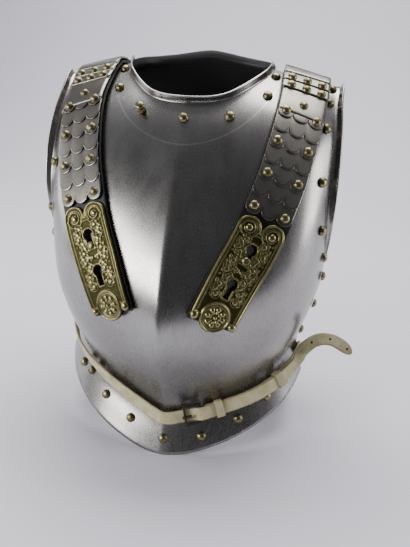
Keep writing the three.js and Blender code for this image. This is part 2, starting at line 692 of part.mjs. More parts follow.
const tailLine = new Ribbon([
  ...flankPlaces(-1).reverse(), keel, ...flankPlaces(1).slice(0, 8),
  ...TAIL_END.map(({ x, y, z }) => ({ point: vector(x, y, z), normal: TAIL_NORMAL.clone() })),
], BELT.lift);

const smooth = (t) => { const c = Math.min(Math.max(t, 0), 1); return c * c * (3 - 2 * c); };
const hinge = () => middle + BUCKLE.at + BUCKLE.length / 2;
const TAIL_TOP = OVER + BUCKLE.bar + 0.8;

function tailHeight(s) {
  const rise = smooth((s - (hinge() - 12)) / 9.5) * TAIL_TOP;
  const fall = smooth((s - (hinge() + 3)) / 10) * (TAIL_TOP - OVER);
  const slack = smooth((s - (hinge() + 60)) / 30) * 1.1;
  return rise - fall + slack;
}

function buckleFrame() {
  const { at, length, inner, bar } = BUCKLE;
  const [s0, s1] = [middle + at - length / 2, middle + at + length / 2];
  const outer = band(s0, s1, -inner - bar, inner + bar, OVER, OVER + bar);
  return bent(waist, [outer], [band(s0 + bar, s1 - bar, -inner, inner, 0, 20)]);
}

function buckleTongue() {
  const s0 = middle + BUCKLE.at - BUCKLE.length / 2 - 2;
  return bent(waist, [band(s0, s0 + 11, -1.6, 1.6, OVER + BUCKLE.bar + GAP, OVER + BUCKLE.bar + 2.6, 7)]);
}

function keeper(line, s) {
  const half = BELT.width / 2;
  const outer = band(s, s + 9, -half - 1.7, half + 1.7, -1.1, 2 * OVER + 3, 5);
  return bent(line, [outer], [band(s - 1, s + 10, -half - GAP, half + GAP, -GAP, 2 * OVER + 1.3, 5)]);
}

// ---------------------------------------------------------------- assembly

const STEEL = { color: 0xa9a9ab, roughness: 0.3, metalness: 1 };
const BRASS = { color: 0x8f7f4a, roughness: 0.4, metalness: 1 };
const BLACK_LEATHER = { color: 0x1d1a18, roughness: 0.7, metalness: 0 };
const BUFF_LEATHER = { color: 0xcfc7a6, roughness: 0.8, metalness: 0 };
const IRON = { color: 0x3b3a38, roughness: 0.5, metalness: 1 };

const cuirass = new THREE.Group();

function piece(name, geometry, look) {
  const mesh = new THREE.Mesh(geometry, new THREE.MeshStandardMaterial(look));
  mesh.name = name;
  cuirass.add(mesh);
  return mesh;
}

function rivet(name, { point, normal }, sign, size = RIVET) {
  const flip = vector(sign, 1, 1);
  const head = piece(name, dome(size, 7, GAP + 0.15), BRASS);
  stand(head, point.clone().multiply(flip), normal.clone().multiply(flip));
}

piece('breastplate', plate(breast, BREAST_OUTLINE, BREAST_GRID, 1, BREAST_GAUGE), STEEL);
piece('backplate', plate(back, BACK_OUTLINE, BACK_GRID, -1, BACK_GAUGE), STEEL);

// The share at which a plate's side ends at a section.
const sideShare = (v) => (v <= 6 ? 1 : through(BREAST_OUTLINE.armhole.map((row) => row.u), v - 6));

for (const sign of [1, -1]) {
  const side = sideName(sign);
  const rows = [['flange', FLANGE_RIVETS[side]], ['neck', NECK_RIVETS]];
  for (const [name, table] of rows) {
    table.forEach(({ x, v }, k) => {
      if (x === 0 && sign < 0) return;
      const spot = place(breast, 1, shareAt(breast, x, v), v);
      if (x === 0) spot.normal.setX(0).normalize();
      const tall = name === 'neck' && sign === KNOB.side && k === KNOB.index;
      const label = x === 0 ? 'middle' : `${side}_${k}`;
      rivet(`rivet_${name}_${label}`, spot, sign, tall ? KNOB : RIVET);
    });
  }
  SIDE_RIVETS.forEach(({ v, inset: margin }, k) => {
    const edge = breast(sideShare(v), v);
    const inset = solve((share) => -breast(1 - share, v).distanceTo(edge) * -1, margin, 1 - sideShare(v), 1);
    rivet(`rivet_side_${side}_${k + 1}`, place(breast, 1, 1 - inset, v), sign);
  });
  const own = (geometry) => (sign > 0 ? geometry : mirrored(geometry));
  piece(`strap_leather_${side}`, own(strapLeather()), BLACK_LEATHER);
  piece(`strap_scales_${side}`, own(strapScales()), STEEL);
  piece(`strap_shoulder_plate_${side}`, own(strapShoulderPlate()), STEEL);
  piece(`strap_lames_${side}`, own(strapLames()), STEEL);
  piece(`end_plate_${side}`, own(endPlate()), BRASS);
  const peg = strap.at(END.keyholes[0] - END.drop + 2.6);
  const flip = vector(sign, 1, 1);
  const stud = piece(`strap_stud_${side}`, strapStud(), BRASS);
  stand(stud, peg.point.multiply(flip), peg.normal.multiply(flip));
}

piece('belt_buckle_half', strip(waist, hinge() + 4, waist.length - 2, () => 0), BUFF_LEATHER);
piece('belt_tail_half', strip(tailLine, 2, tailLine.length - 1, tailHeight), BUFF_LEATHER);
piece('buckle_frame', buckleFrame(), IRON);
piece('buckle_tongue', buckleTongue(), IRON);
piece('keeper_front', keeper(waist, hinge() + 15), BUFF_LEATHER);
piece('keeper_side', keeper(waist, middle + 136), BUFF_LEATHER);

// The origin goes under the middle of the whole thing's box.
const box = new THREE.Box3().setFromObject(cuirass);
const centre = box.getCenter(vector(0, 0, 0));
cuirass.position.set(-centre.x, -centre.y, -box.min.z);

const model = new THREE.Group();
model.add(cuirass);
export default model;
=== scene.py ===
# %% [markdown]
# # A cavalry cuirass
# A cuirass is a steel breastplate and backplate, hung from two straps covered in steel scales and drawn in
# at the waist by a leather belt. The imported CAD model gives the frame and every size. Modelling it all again
# would risk a second set of sizes, so each piece here starts from a CAD node: the plates are smoothed, and
# the straps, end plates and belt are rebuilt in detail on the line of the CAD leather.

# %% Load the frame
import bmesh
import bpy
import functools
import math
import numpy as np
from mathutils import Matrix, Vector


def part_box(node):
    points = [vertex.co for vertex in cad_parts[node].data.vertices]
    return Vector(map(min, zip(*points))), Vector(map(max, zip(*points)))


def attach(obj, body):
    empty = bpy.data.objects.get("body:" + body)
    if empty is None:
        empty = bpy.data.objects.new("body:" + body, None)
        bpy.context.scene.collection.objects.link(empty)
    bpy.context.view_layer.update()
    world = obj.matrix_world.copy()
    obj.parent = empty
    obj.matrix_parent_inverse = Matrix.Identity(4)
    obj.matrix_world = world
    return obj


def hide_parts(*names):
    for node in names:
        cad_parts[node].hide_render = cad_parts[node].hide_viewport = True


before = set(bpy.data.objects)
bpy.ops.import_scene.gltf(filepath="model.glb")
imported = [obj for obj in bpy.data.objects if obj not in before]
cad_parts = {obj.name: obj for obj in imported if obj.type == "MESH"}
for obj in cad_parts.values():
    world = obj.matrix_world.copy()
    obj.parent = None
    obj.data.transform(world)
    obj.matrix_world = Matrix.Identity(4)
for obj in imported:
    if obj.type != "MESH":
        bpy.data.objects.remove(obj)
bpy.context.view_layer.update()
MM = 0.001
KEEL_X = sum(corner[0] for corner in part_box("rivet_neck_middle")) / 2
FRONT_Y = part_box("breastplate")[0][1]
print("keel at x", round(KEEL_X, 4), "front at y", round(FRONT_Y, 4))

# %% [markdown]
# ## Finished pieces
# Every piece of the cuirass is one mesh with one material, at the origin, riding on the root body. A piece
# could be parented and coloured by hand each time. One function does it, so that none is forgotten. A CAD
# node's mesh is loose triangles, so a copy of it has its points merged before an operator reads its edges.

# %% Finished pieces
def finish_piece(piece, material, replaces=()):
    """Gives a piece its material and smooth shading, puts it on the root body and hides the CAD nodes it
    stands for.
    """
    piece.data.materials.clear()
    piece.data.materials.append(material)
    for polygon in piece.data.polygons:
        polygon.use_smooth = True
    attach(piece, "root")
    if replaces:
        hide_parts(*replaces)


def linked_object(mesh, name):
    """A new object in the scene that holds a finished bmesh."""
    data = bpy.data.meshes.new(name)
    mesh.to_mesh(data)
    mesh.free()
    piece = bpy.data.objects.new(name, data)
    bpy.context.scene.collection.objects.link(piece)
    return piece


def bmesh_piece(mesh, name, material, replaces=()):
    piece = linked_object(mesh, name)
    finish_piece(piece, material, replaces)
    return piece


def node_mesh(node):
    """A CAD node's mesh in metres as a bmesh with merged points."""
    source = bpy.data.objects[node]
    mesh = bmesh.new()
    mesh.from_mesh(source.data)
    mesh.transform(source.matrix_world)
    bmesh.ops.remove_doubles(mesh, verts=mesh.verts, dist=2e-6)
    return mesh


print(len(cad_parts), "CAD nodes")

# %% [markdown]
# ## Nodes and colours
# A material is a graph of nodes. It could be wired by hand in the shader editor. Here one function adds a
# node, sets it, fills or links its inputs and gives back the output that the next node reads. Colours are
# written as on screen, in sRGB, and turned into the linear values that the renderer mixes.

# %% Nodes and colours
def colour(hex_code):
    """sRGB hex to linear RGBA."""
    parts = [int(hex_code[k:k + 2], 16) / 255 for k in (1, 3, 5)]
    return [c / 12.92 if c < 0.04045 else ((c + 0.055) / 1.055) ** 2.4 for c in parts] + [1.0]


def fill(tree, node, inputs):
    """Links each input that is given an output, and sets each that is given a value."""
    for key, value in inputs.items():
        if isinstance(value, bpy.types.NodeSocket):
            tree.links.new(value, node.inputs[key])
        else:
            node.inputs[key].default_value = value


def add_node(tree, kind, inputs=None, output=0, **settings):
    """Adds a shader node, sets it, fills its inputs and gives back one of its outputs."""
    node = tree.nodes.new("ShaderNode" + kind)
    for key, value in settings.items():
        setattr(node, key, value)
    fill(tree, node, inputs or {})
    return node.outputs[output]


def new_material(name):
    """A material, and the function that adds a node to it."""
    material = bpy.data.materials.new(name)
    material.use_nodes = True
    return material, functools.partial(add_node, material.node_tree)


def set_surface(material, inputs):
    tree = material.node_tree
    fill(tree, tree.nodes["Principled BSDF"], inputs)
    return material


print("linear mid grey", [round(c, 3) for c in colour("#808080")])

# %% [markdown]
# ## Polished steel
# The plates were polished by hand, up and down, and have aged since. The eye reads fine upright scratches in
# the highlights, wide soft waves, and a few brown stains. A picture of steel could be wrapped round the
# plate, but it would stretch, and it would carry its own light. Noise on the object's own coordinates doesn't
# stretch, and a Mapping node that squeezes the height turns it into upright brushing.

# %% Polished steel
BRUSH_MM, WAVE_MM, CLOUD_MM, SPOT_MM = 1.1, 14, 70, 5
BRUSH_HEIGHT, WAVE_HEIGHT, STEEL_RELIEF_MM = 0.2, 0.3, 0.015


def steel_material(name, tints, rough_low, rough_high, brushing=1.0, engrave=None):
    """Metal with brushing and stains. The tints are the ground, its clouds and its scratches."""
    material, add = new_material(name)
    place = add("TexCoord", output="Object")
    tall = add("Mapping", {"Vector": place, "Scale": (1, 1, 0.03)})
    brush = add("TexNoise", {"Vector": tall, "Scale": 1 / (BRUSH_MM * MM), "Detail": 5, "Roughness": 0.6})
    longer = add("Mapping", {"Vector": place, "Scale": (1, 1, 0.1)})
    wave = add("TexNoise", {"Vector": longer, "Scale": 1 / (WAVE_MM * MM), "Detail": 2, "Roughness": 0.4})
    cloud = add("TexNoise", {"Vector": place, "Scale": 1 / (CLOUD_MM * MM), "Detail": 4, "Roughness": 0.6})
    spots = add("TexNoise", {"Vector": place, "Scale": 1 / (SPOT_MM * MM), "Detail": 5, "Roughness": 0.65})
    stain = add("MapRange", {"Value": spots, "From Min": 0.72, "From Max": 0.8})
    clouds = add("MapRange", {"Value": cloud, "From Min": 0.35, "From Max": 0.7})
    tint = add("Mix", {0: clouds, 6: colour(tints[0]), 7: colour(tints[1])}, 2, data_type="RGBA")
    scratches = add("MapRange", {"Value": brush, "From Min": 0.35, "From Max": 0.7})
    share = add("Math", {0: scratches, 1: 0.25 * brushing}, operation="MULTIPLY")
    tint = add("Mix", {0: share, 6: tint, 7: colour(tints[2])}, 2, data_type="RGBA")
    share = add("Math", {0: stain, 1: 0.3}, operation="MULTIPLY")
    tint = add("Mix", {0: share, 6: tint, 7: colour("#5c5044")}, 2, data_type="RGBA")
    dull = add("MapRange", {"Value": brush, "From Min": 0.3, "From Max": 0.7,
                            "To Min": rough_low, "To Max": rough_high})
    uneven = add("MapRange", {"Value": wave, "From Min": 0.3, "From Max": 0.7,
                              "To Min": -0.01, "To Max": 0.03})
    rough = add("Math", {0: dull, 1: uneven}, operation="ADD")
    stained = add("Math", {0: stain, 1: 0.2}, operation="MULTIPLY")
    rough = add("Math", {0: rough, 1: stained}, operation="ADD")
    fine = add("Math", {0: brush, 1: BRUSH_HEIGHT}, operation="MULTIPLY")
    broad = add("Math", {0: wave, 1: WAVE_HEIGHT}, operation="MULTIPLY")
    height = add("Math", {0: fine, 1: broad}, operation="ADD")
    if engrave:
        tint, height = engrave(add, place, tint, height)
    bump = add("Bump", {"Height": height, "Distance": STEEL_RELIEF_MM * MM, "Strength": 0.07 * brushing})
    return set_surface(material, {"Base Color": tint, "Metallic": 1.0, "Roughness": rough, "Normal": bump})


# %% [markdown]
# ## Engraved lines
# The smith scribed a line round the neck, under the rivets, and each scale has an arc inside its round edge.
# They are a fraction of a millimetre deep. Cutting them into the mesh would take far more faces than the
# plate itself, so they are drawn in the bump. The neck line is a circle about a point on the keel. An arc
# follows the third flat coordinate of its scale, which is the way in from the scale's edge.

# %% Engraved lines
NECK_LINE = {"centre_z": 0.449, "radius": 0.104, "half": 0.0002, "fade": 0.0009}
ARC_MM = {"in_from_edge": 2.2, "half": 0.15, "fade": 0.55, "rim": 0.7}


def engrave_neck(add, place, tint, height):
    """A bright line at one radius from a point on the keel, on the front alone."""
    split = add("SeparateXYZ", {"Vector": place}).node.outputs
    x = add("Math", {0: split[0], 1: KEEL_X}, operation="SUBTRACT")
    z = add("Math", {0: split[2], 1: NECK_LINE["centre_z"]}, operation="SUBTRACT")
    x_squared = add("Math", {0: x, 1: x}, operation="MULTIPLY")
    z_squared = add("Math", {0: z, 1: z}, operation="MULTIPLY")
    total = add("Math", {0: x_squared, 1: z_squared}, operation="ADD")
    reach = add("Math", {0: total}, operation="SQRT")
    off = add("Math", {0: reach, 1: NECK_LINE["radius"]}, operation="SUBTRACT")
    off = add("Math", {0: off}, operation="ABSOLUTE")
    circle = add("MapRange", {"Value": off, "From Min": NECK_LINE["half"], "From Max": NECK_LINE["fade"],
                              "To Min": 1.0, "To Max": 0.0})
    front = add("Math", {0: split[1], 1: 0.0}, operation="LESS_THAN")
    line = add("Math", {0: circle, 1: front}, operation="MULTIPLY")
    share = add("Math", {0: line, 1: 0.35}, operation="MULTIPLY")
    tint = add("Mix", {0: share, 6: tint, 7: colour("#e8e4dc")}, 2, data_type="RGBA")
    return tint, add("Math", {0: height, 1: line}, operation="SUBTRACT")


def engrave_arcs(add, place, tint, height):
    """A dark groove along each round edge, and a darker band at the edge itself."""
    flat = add("Attribute", output="Vector", attribute_name="flat")
    inside = add("SeparateXYZ", {"Vector": flat}, output=2)
    off = add("Math", {0: inside, 1: ARC_MM["in_from_edge"]}, operation="SUBTRACT")
    off = add("Math", {0: off}, operation="ABSOLUTE")
    groove = add("MapRange", {"Value": off, "From Min": ARC_MM["half"], "From Max": ARC_MM["fade"],
                              "To Min": 1.0, "To Max": 0.0})
    # A darker band along the scale's own edge.
    rim = add("MapRange", {"Value": inside, "From Min": ARC_MM["half"], "From Max": ARC_MM["rim"],
                           "To Min": 1.0, "To Max": 0.0})
    groove_and_rim = add("Math", {0: groove, 1: rim}, operation="MAXIMUM")
    share = add("Math", {0: groove_and_rim, 1: 0.7}, operation="MULTIPLY")
    tint = add("Mix", {0: share, 6: tint, 7: colour("#37332c")}, 2, data_type="RGBA")
    deep = add("Math", {0: groove, 1: 6.0}, operation="MULTIPLY")
    return tint, add("Math", {0: height, 1: deep}, operation="SUBTRACT")


# Bright and nearly mirror-like: it shows the room as soft upright bands.
STEEL = steel_material("breast_steel", ("#a19f9c", "#918e8a", "#86837e"), 0.23, 0.31, engrave=engrave_neck)
# Duller, and darker as painted shade: the back lies in shade and shows beside the breast only as a quiet edge.
SHADED_BACK_STEEL = steel_material("back_steel_painted_shade", ("#84827f", "#72706d", "#65635f"), 0.24, 0.36)
# Browner and rougher: the scales catch small broken lights between dark grooves.
SCALE_STEEL = steel_material("scale_steel", ("#8f8c86", "#787469", "#625e56"), 0.26, 0.40, 0.7, engrave_arcs)
print("steels", [m.name for m in (STEEL, SHADED_BACK_STEEL, SCALE_STEEL)])

# %% [markdown]
# ## Brass
# Rivets and end plates are brass that has gone dull and olive, and stays bright only where hands rub it. The
# whole casting could be darkened by eye with a brush. Its own relief says where it is low, so the height that
# is stored on its points mixes the two colours instead.

# %% Brass
GRIME_MM, CASTING_GRAIN_MM, BRASS_RELIEF_MM = 6, 0.8, 0.03
RUBBED_HEIGHT_MM = 1.5


def brass_material(name, light, dark, relief=False):
    material, add = new_material(name)
    place = add("TexCoord", output="Object")
    grime = add("TexNoise", {"Vector": place, "Scale": 1 / (GRIME_MM * MM), "Detail": 5, "Roughness": 0.6})
    fine = add("TexNoise", {"Vector": place, "Scale": 1 / (CASTING_GRAIN_MM * MM), "Detail": 4,
                            "Roughness": 0.6})
    low = add("MapRange", {"Value": grime, "From Min": 0.35, "From Max": 0.75})
    if relief:
        flat = add("Attribute", output="Vector", attribute_name="flat")
        lift = add("SeparateXYZ", {"Vector": flat}, output=2)
        ground = add("MapRange", {"Value": lift, "From Min": 0.0, "From Max": RUBBED_HEIGHT_MM,
                                  "To Min": 0.95, "To Max": 0.0})
        grime = add("Math", {0: low, 1: 0.25}, operation="MULTIPLY")
        low = add("Math", {0: ground, 1: grime}, operation="ADD", use_clamp=True)
    tint = add("Mix", {0: low, 6: colour(light), 7: colour(dark)}, 2, data_type="RGBA")
    dull = add("Math", {0: low, 1: 0.3}, operation="MULTIPLY")
    grain = add("MapRange", {"Value": fine, "From Min": 0.3, "From Max": 0.7,
                             "To Min": 0.2, "To Max": 0.32})
    rough = add("Math", {0: dull, 1: grain}, operation="ADD")
    bump = add("Bump", {"Height": fine, "Distance": BRASS_RELIEF_MM * MM, "Strength": 0.3})
    return set_surface(material, {"Base Color": tint, "Metallic": 1.0, "Roughness": rough, "Normal": bump})


# Round heads: one warm spark each, with an olive body.
BRASS = brass_material("rivet_brass", "#948b66", "#4c4630")
# The same metal with a nearly black ground, so that the relief reads from afar.
CAST_BRASS = brass_material("cast_brass", "#958e63", "#3b3820", True)
print("brasses", [m.name for m in (BRASS, CAST_BRASS)])

# %% [markdown]
# ## Buff leather
# The belt is pale, thick buff leather: a matt grain, browner edges, and a loose end that grows browner towards
# its tip and is pierced with holes about 3 mm across. They could be cut through with a boolean, but there is
# belt behind them and they show no light, so they are dark spots at even steps along the flat coordinates.

# %% Buff leather
BELT_WIDTH = 15.0
HOLE_MM = {"pitch": 22.0, "radius": 1.2, "fade": 1.6}


def belt_material():
    material, add = new_material("buff_leather")
    place = add("TexCoord", output="Object")
    flat = add("Attribute", output="Vector", attribute_name="flat")
    along, across, toward_tip = add("SeparateXYZ", {"Vector": flat}).node.outputs
    cloud = add("TexNoise", {"Vector": place, "Scale": 1 / (14 * MM), "Detail": 5, "Roughness": 0.6})
    grain = add("TexNoise", {"Vector": place, "Scale": 1 / (1.2 * MM), "Detail": 5, "Roughness": 0.7})
    share = add("MapRange", {"Value": cloud, "From Min": 0.3, "From Max": 0.7})
    tint = add("Mix", {0: share, 6: colour("#aca275"), 7: colour("#d3cca6")}, 2, data_type="RGBA")
    pores = add("MapRange", {"Value": grain, "From Min": 0.5, "From Max": 0.75})
    share = add("Math", {0: pores, 1: 0.5}, operation="MULTIPLY")
    tint = add("Mix", {0: share, 6: tint, 7: colour("#8a7b58")}, 2, data_type="RGBA")
    middle = add("Math", {0: across}, operation="ABSOLUTE")
    edge = add("MapRange", {"Value": middle, "From Min": 6.2, "From Max": BELT_WIDTH / 2})
    share = add("Math", {0: edge, 1: 0.55}, operation="MULTIPLY")
    tint = add("Mix", {0: share, 6: tint, 7: colour("#7a6a48")}, 2, data_type="RGBA")
    # Browner towards the free end, in patches that follow the grain.
    grain_patches = add("MapRange", {"Value": grain, "From Min": 0.3, "From Max": 0.6,
                              "To Min": 0.35, "To Max": 0.9})
    share = add("Math", {0: toward_tip, 1: grain_patches}, operation="MULTIPLY")
    tint = add("Mix", {0: share, 6: tint, 7: colour("#6f6045")}, 2, data_type="RGBA")
    ahead = add("Math", {0: along, 1: HOLE_MM["pitch"] / 2}, operation="ADD")
    step = add("Math", {0: ahead, 1: HOLE_MM["pitch"]}, operation="MODULO")
    step = add("Math", {0: step, 1: HOLE_MM["pitch"] / 2}, operation="SUBTRACT")
    step_squared = add("Math", {0: step, 1: step}, operation="MULTIPLY")
    across_squared = add("Math", {0: across, 1: across}, operation="MULTIPLY")
    total = add("Math", {0: step_squared, 1: across_squared}, operation="ADD")
    away = add("Math", {0: total}, operation="SQRT")
    spot = add("MapRange", {"Value": away, "From Min": HOLE_MM["radius"], "From Max": HOLE_MM["fade"],
                            "To Min": 1.0, "To Max": 0.0})
    on_tail_end = add("MapRange", {"Value": toward_tip, "From Min": 0.0, "From Max": 0.02})
    hole = add("Math", {0: spot, 1: on_tail_end}, operation="MULTIPLY")
    tint = add("Mix", {0: hole, 6: tint, 7: colour("#120e0a")}, 2, data_type="RGBA")
    skin = add("Math", {0: grain, 1: 0.4}, operation="MULTIPLY")
    deep = add("Math", {0: hole, 1: 4.0}, operation="MULTIPLY")
    height = add("Math", {0: skin, 1: deep}, operation="SUBTRACT")
    rough = add("MapRange", {"Value": grain, "From Min": 0.3, "From Max": 0.7,
                             "To Min": 0.6, "To Max": 0.85})
    bump = add("Bump", {"Height": height, "Distance": 0.35 * MM, "Strength": 0.6})
    return set_surface(material, {"Base Color": tint, "Roughness": rough, "Normal": bump})


BELT = belt_material()
print("belt leather", len(BELT.node_tree.nodes), "nodes")

# %% [markdown]
# ## Plain leather, iron and painted shade
# The strap leather is black and shows only as a dark line beside the scales, the keepers are pale leather
# without holes, the buckle is dark iron with a little rust, and a near-black colour inside the plates is
# painted shade. One noise each is enough, because none of them is looked at closely.

# %% Plain leather, iron and painted shade
def plain_leather(name, light, dark, rough):
    material, add = new_material(name)
    place = add("TexCoord", output="Object")
    grain = add("TexNoise", {"Vector": place, "Scale": 1 / (1.0 * MM), "Detail": 5, "Roughness": 0.65})
    share = add("MapRange", {"Value": grain, "From Min": 0.35, "From Max": 0.7})
    tint = add("Mix", {0: share, 6: colour(dark), 7: colour(light)}, 2, data_type="RGBA")
    bump = add("Bump", {"Height": grain, "Distance": 0.2 * MM, "Strength": 0.5})
    return set_surface(material, {"Base Color": tint, "Roughness": rough, "Normal": bump})


def iron_material():
    material, add = new_material("dark_iron")
    place = add("TexCoord", output="Object")
    rust = add("TexNoise", {"Vector": place, "Scale": 1 / (3 * MM), "Detail": 5, "Roughness": 0.6})
    share = add("MapRange", {"Value": rust, "From Min": 0.45, "From Max": 0.7})
    tint = add("Mix", {0: share, 6: colour("#4a4744"), 7: colour("#3a2c22")}, 2, data_type="RGBA")
    rough = add("MapRange", {"Value": rust, "From Min": 0.3, "From Max": 0.7,
                             "To Min": 0.35, "To Max": 0.65})
    return set_surface(material, {"Base Color": tint, "Metallic": 0.9, "Roughness": rough})


LOOP_LEATHER = plain_leather("loop_leather", "#cfc6a4", "#978a66", 0.8)
BLACK_LEATHER = plain_leather("black_leather", "#2a2624", "#0e0d0c", 0.6)
IRON = iron_material()
# The plates' insides: a near-black colour that is painted shade.
INSIDE_SHADE_PAINT = plain_leather("inside_painted_shade", "#262627", "#141415", 0.55)
print("others", [m.name for m in (LOOP_LEATHER, BLACK_LEATHER, IRON, INSIDE_SHADE_PAINT)])

# %% [markdown]
# ## Plates
# Each plate was raised from one sheet: smooth all over, with a sharp keel down the breast and hems folded
# round its edges. A new surface could be drawn over it, but the CAD shell already has the right form and is
# only faceted. Its triangles are joined to quads and subdivided. A crease on the keel and the hems keeps
# them crisp, and faces that look inwards get a near-black colour as painted shade.

# %% Plates
JOIN_TURN, JOIN_SKEW = math.radians(50), math.radians(60)
HEM_TURN = math.radians(55)
HEM_CREASE, KEEL_CREASE, KEEL_REACH = 0.9, 0.85, 0.0004
# Inward faces of the breast lower than this band get the painted shade.
SHADE_FREE_BAND = 0.116  # how far down from its top the breast's inside stays bright
INWARD = -0.45


def crease_edges(mesh, keel):
    crease = mesh.edges.layers.float.new("crease_edge")
    for edge in mesh.edges:
        on_keel = all(abs(v.co.x - KEEL_X) < KEEL_REACH for v in edge.verts)
        hem = edge.calc_face_angle(0.0) > HEM_TURN
        edge[crease] = HEM_CREASE if hem else (keel if on_keel else 0.0)


def paint_inside_shade(piece, shade_below):
    """Faces that look at the body's axis, below a height, get the second material, a near-black painted shade.
    """
    piece.data.materials.append(INSIDE_SHADE_PAINT)
    for polygon in piece.data.polygons:
        outward = Vector((polygon.center.x - KEEL_X, polygon.center.y, 0)).normalized()
        if polygon.normal.dot(outward) < INWARD and polygon.center.z < shade_below:
            polygon.material_index = 1


def smooth_plate(node, material, name, keel=0.0):
    mesh = node_mesh(node)
    bmesh.ops.join_triangles(mesh, faces=mesh.faces, angle_face_threshold=JOIN_TURN,
                             angle_shape_threshold=JOIN_SKEW)
    crease_edges(mesh, keel)
    piece = linked_object(mesh, name)
    piece.modifiers.new("smooth", "SUBSURF").levels = 2
    smoothed = piece.evaluated_get(bpy.context.evaluated_depsgraph_get())
    data = bpy.data.meshes.new_from_object(smoothed)
    piece.modifiers.clear()
    piece.data = data
    finish_piece(piece, material, (node,))
    top = max(v.co.z for v in data.vertices)
    paint_inside_shade(piece, math.inf if node == "backplate" else top - SHADE_FREE_BAND)
    print(name, len(data.polygons), "faces")


smooth_plate("breastplate", STEEL, "breast_shell", keel=KEEL_CREASE)
smooth_plate("backplate", SHADED_BACK_STEEL, "back_shell")

# %% [markdown]
# ## Rivets
# A row of brass rivets with round heads runs round the edges of the breast, and one at the neck is a turned
# knob. A squashed sphere would do for a head, but a knob needs a waist. Both are a half outline spun round
# their axis, as on a lathe. The flat foot of the CAD rivet says where a head stands and which way it looks.

# %% Rivets
RIVET_FOOT = [(0, -0.45), (5.4, -0.45), (5.5, 0.2)]
RIVET_RADIUS, RIVET_HEIGHT, RIVET_TOP = 5.2, 4.0, 4.1
KNOB_FROM = 8  # a CAD rivet taller than this is the knob
KNOB = [(0, -0.4), (4.6, -0.4), (4.4, 2.0), (3.4, 4.0), (3.2, 5.2), (4.6, 6.4), (5.2, 8.0), (4.8, 9.6),
        (3.0, 10.7), (0, 11.0)]


def dome(radius, height, rings=7):
    """The half outline of a round head, from its rim to just short of its top."""
    angles = [math.pi / 2 * k / rings for k in range(rings)]
    return [(radius * math.cos(a) ** 0.9, height * (0.12 + 0.88 * math.sin(a))) for a in angles]


def add_turned(mesh, profile, place, axis, sides=24):
    """Spins a profile of (radius, height) in millimetres, and stands it at a place along an axis."""
    before = set(mesh.verts)
    points = [mesh.verts.new((radius * MM, 0, height * MM)) for radius, height in profile]
    edges = [mesh.edges.new(pair) for pair in zip(points, points[1:])]
    bmesh.ops.spin(mesh, geom=points + edges, cent=(0, 0, 0), axis=(0, 0, 1), angle=2 * math.pi,
                   steps=sides, use_merge=True)
    bmesh.ops.remove_doubles(mesh, verts=[v for v in mesh.verts if v not in before], dist=1e-6)
    fresh = [v for v in mesh.verts if v not in before]
    bmesh.ops.recalc_face_normals(mesh, faces=list({f for v in fresh for f in v.link_faces}))
    turn = axis.to_track_quat("Z", "Y").to_matrix().to_4x4()
    bmesh.ops.transform(mesh, matrix=Matrix.Translation(place) @ turn, verts=fresh)


def foot_of(node):
    """The middle of a CAD rivet's foot, its outward direction and its height, in metres."""
    mesh = node_mesh(node)
    groups = {}
    for face in mesh.faces:
        key = tuple(round(c, 2) for c in face.normal)
        groups.setdefault(key, []).append(face)
    foot = max(groups.values(), key=lambda faces: sum(f.calc_area() for f in faces))
    axis = -foot[0].normal.copy()
    rim = {v for f in foot for v in f.verts}
    centre = sum((v.co for v in rim), Vector()) / len(rim)
    height = max((v.co - centre).dot(axis) for v in mesh.verts)
    mesh.free()
    return centre, axis, height


rivet_nodes = sorted(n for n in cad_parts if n.startswith("rivet_"))
round_head = RIVET_FOOT + dome(RIVET_RADIUS, RIVET_HEIGHT) + [(0, RIVET_TOP)]
for node in rivet_nodes:
    centre, axis, height = foot_of(node)
    head = bmesh.new()
    add_turned(head, KNOB if height / MM > KNOB_FROM else round_head, centre, axis)
    bmesh_piece(head, f"{node}_head", BRASS, (node,))
print(len(rivet_nodes), "rivet heads")

# %% [markdown]
# ## Ribbons
# A strap is flat work that was riveted together on a bench and then bent over the shoulder. It is easiest to
# model in the same order: flat, and then bent. A Curve modifier could bend it, but it would choose its own
# twist. The four long sharp edges of the CAD leather give a place, a direction across and one up at every
# distance s along it, so t across and h up from its underside become places on the body.

# %% Edges of a strip
SHARP_TURN = math.radians(72)


def long_edges(node):
    """The four longest runs of sharp edges of a CAD strip, as rows of points in millimetres."""
    mesh = node_mesh(node)
    links = {}
    for edge in mesh.edges:
        if edge.calc_face_angle(0.0) > SHARP_TURN:
            for v in edge.verts:
                links.setdefault(v, []).append(edge)
    corners = [v for v, edges in links.items() if len(edges) == 3]
    chains, seen = [], set()
    for corner in corners:
        for edge in links[corner]:
            if edge in seen:
                continue
            chain, here, step = [corner], corner, edge
            while True:
                seen.add(step)
                here = step.other_vert(here)
                chain.append(here)
                onward = [e for e in links[here] if e not in seen]
                if len(links[here]) != 2 or not onward:
                    break
                step = onward[0]
            chains.append(np.array([v.co[:] for v in chain]) / MM)
    mesh.free()
    chains.sort(key=lambda c: -np.linalg.norm(np.diff(c, axis=0), axis=1).sum())
    return chains[:4]


def hermite(xs, ys, x):
    """Smooth interpolation with straight continuation past both ends."""
    slopes = np.gradient(ys, xs)
    k = np.clip(np.searchsorted(xs, x) - 1, 0, len(xs) - 2)
    width = xs[k + 1] - xs[k]
    t = (x - xs[k]) / width
    inside = np.clip(t, 0, 1)
    t2, t3 = inside ** 2, inside ** 3
    value = ((2 * t3 - 3 * t2 + 1) * ys[k] + (t3 - 2 * t2 + inside) * width * slopes[k]
             + (3 * t2 - 2 * t3) * ys[k + 1] + (t3 - t2) * width * slopes[k + 1])
    slope = np.where(t < 0, slopes[k], slopes[k + 1])
    return value + (t - inside) * width * slope


print("buckle half's edges", [len(edge) for edge in long_edges("belt_buckle_half")], "points")

# %% Ribbons
LEATHER_START = 15  # s at the low end of the shoulder leather
FRONT = np.array([0.0, -1.0, 0.2])


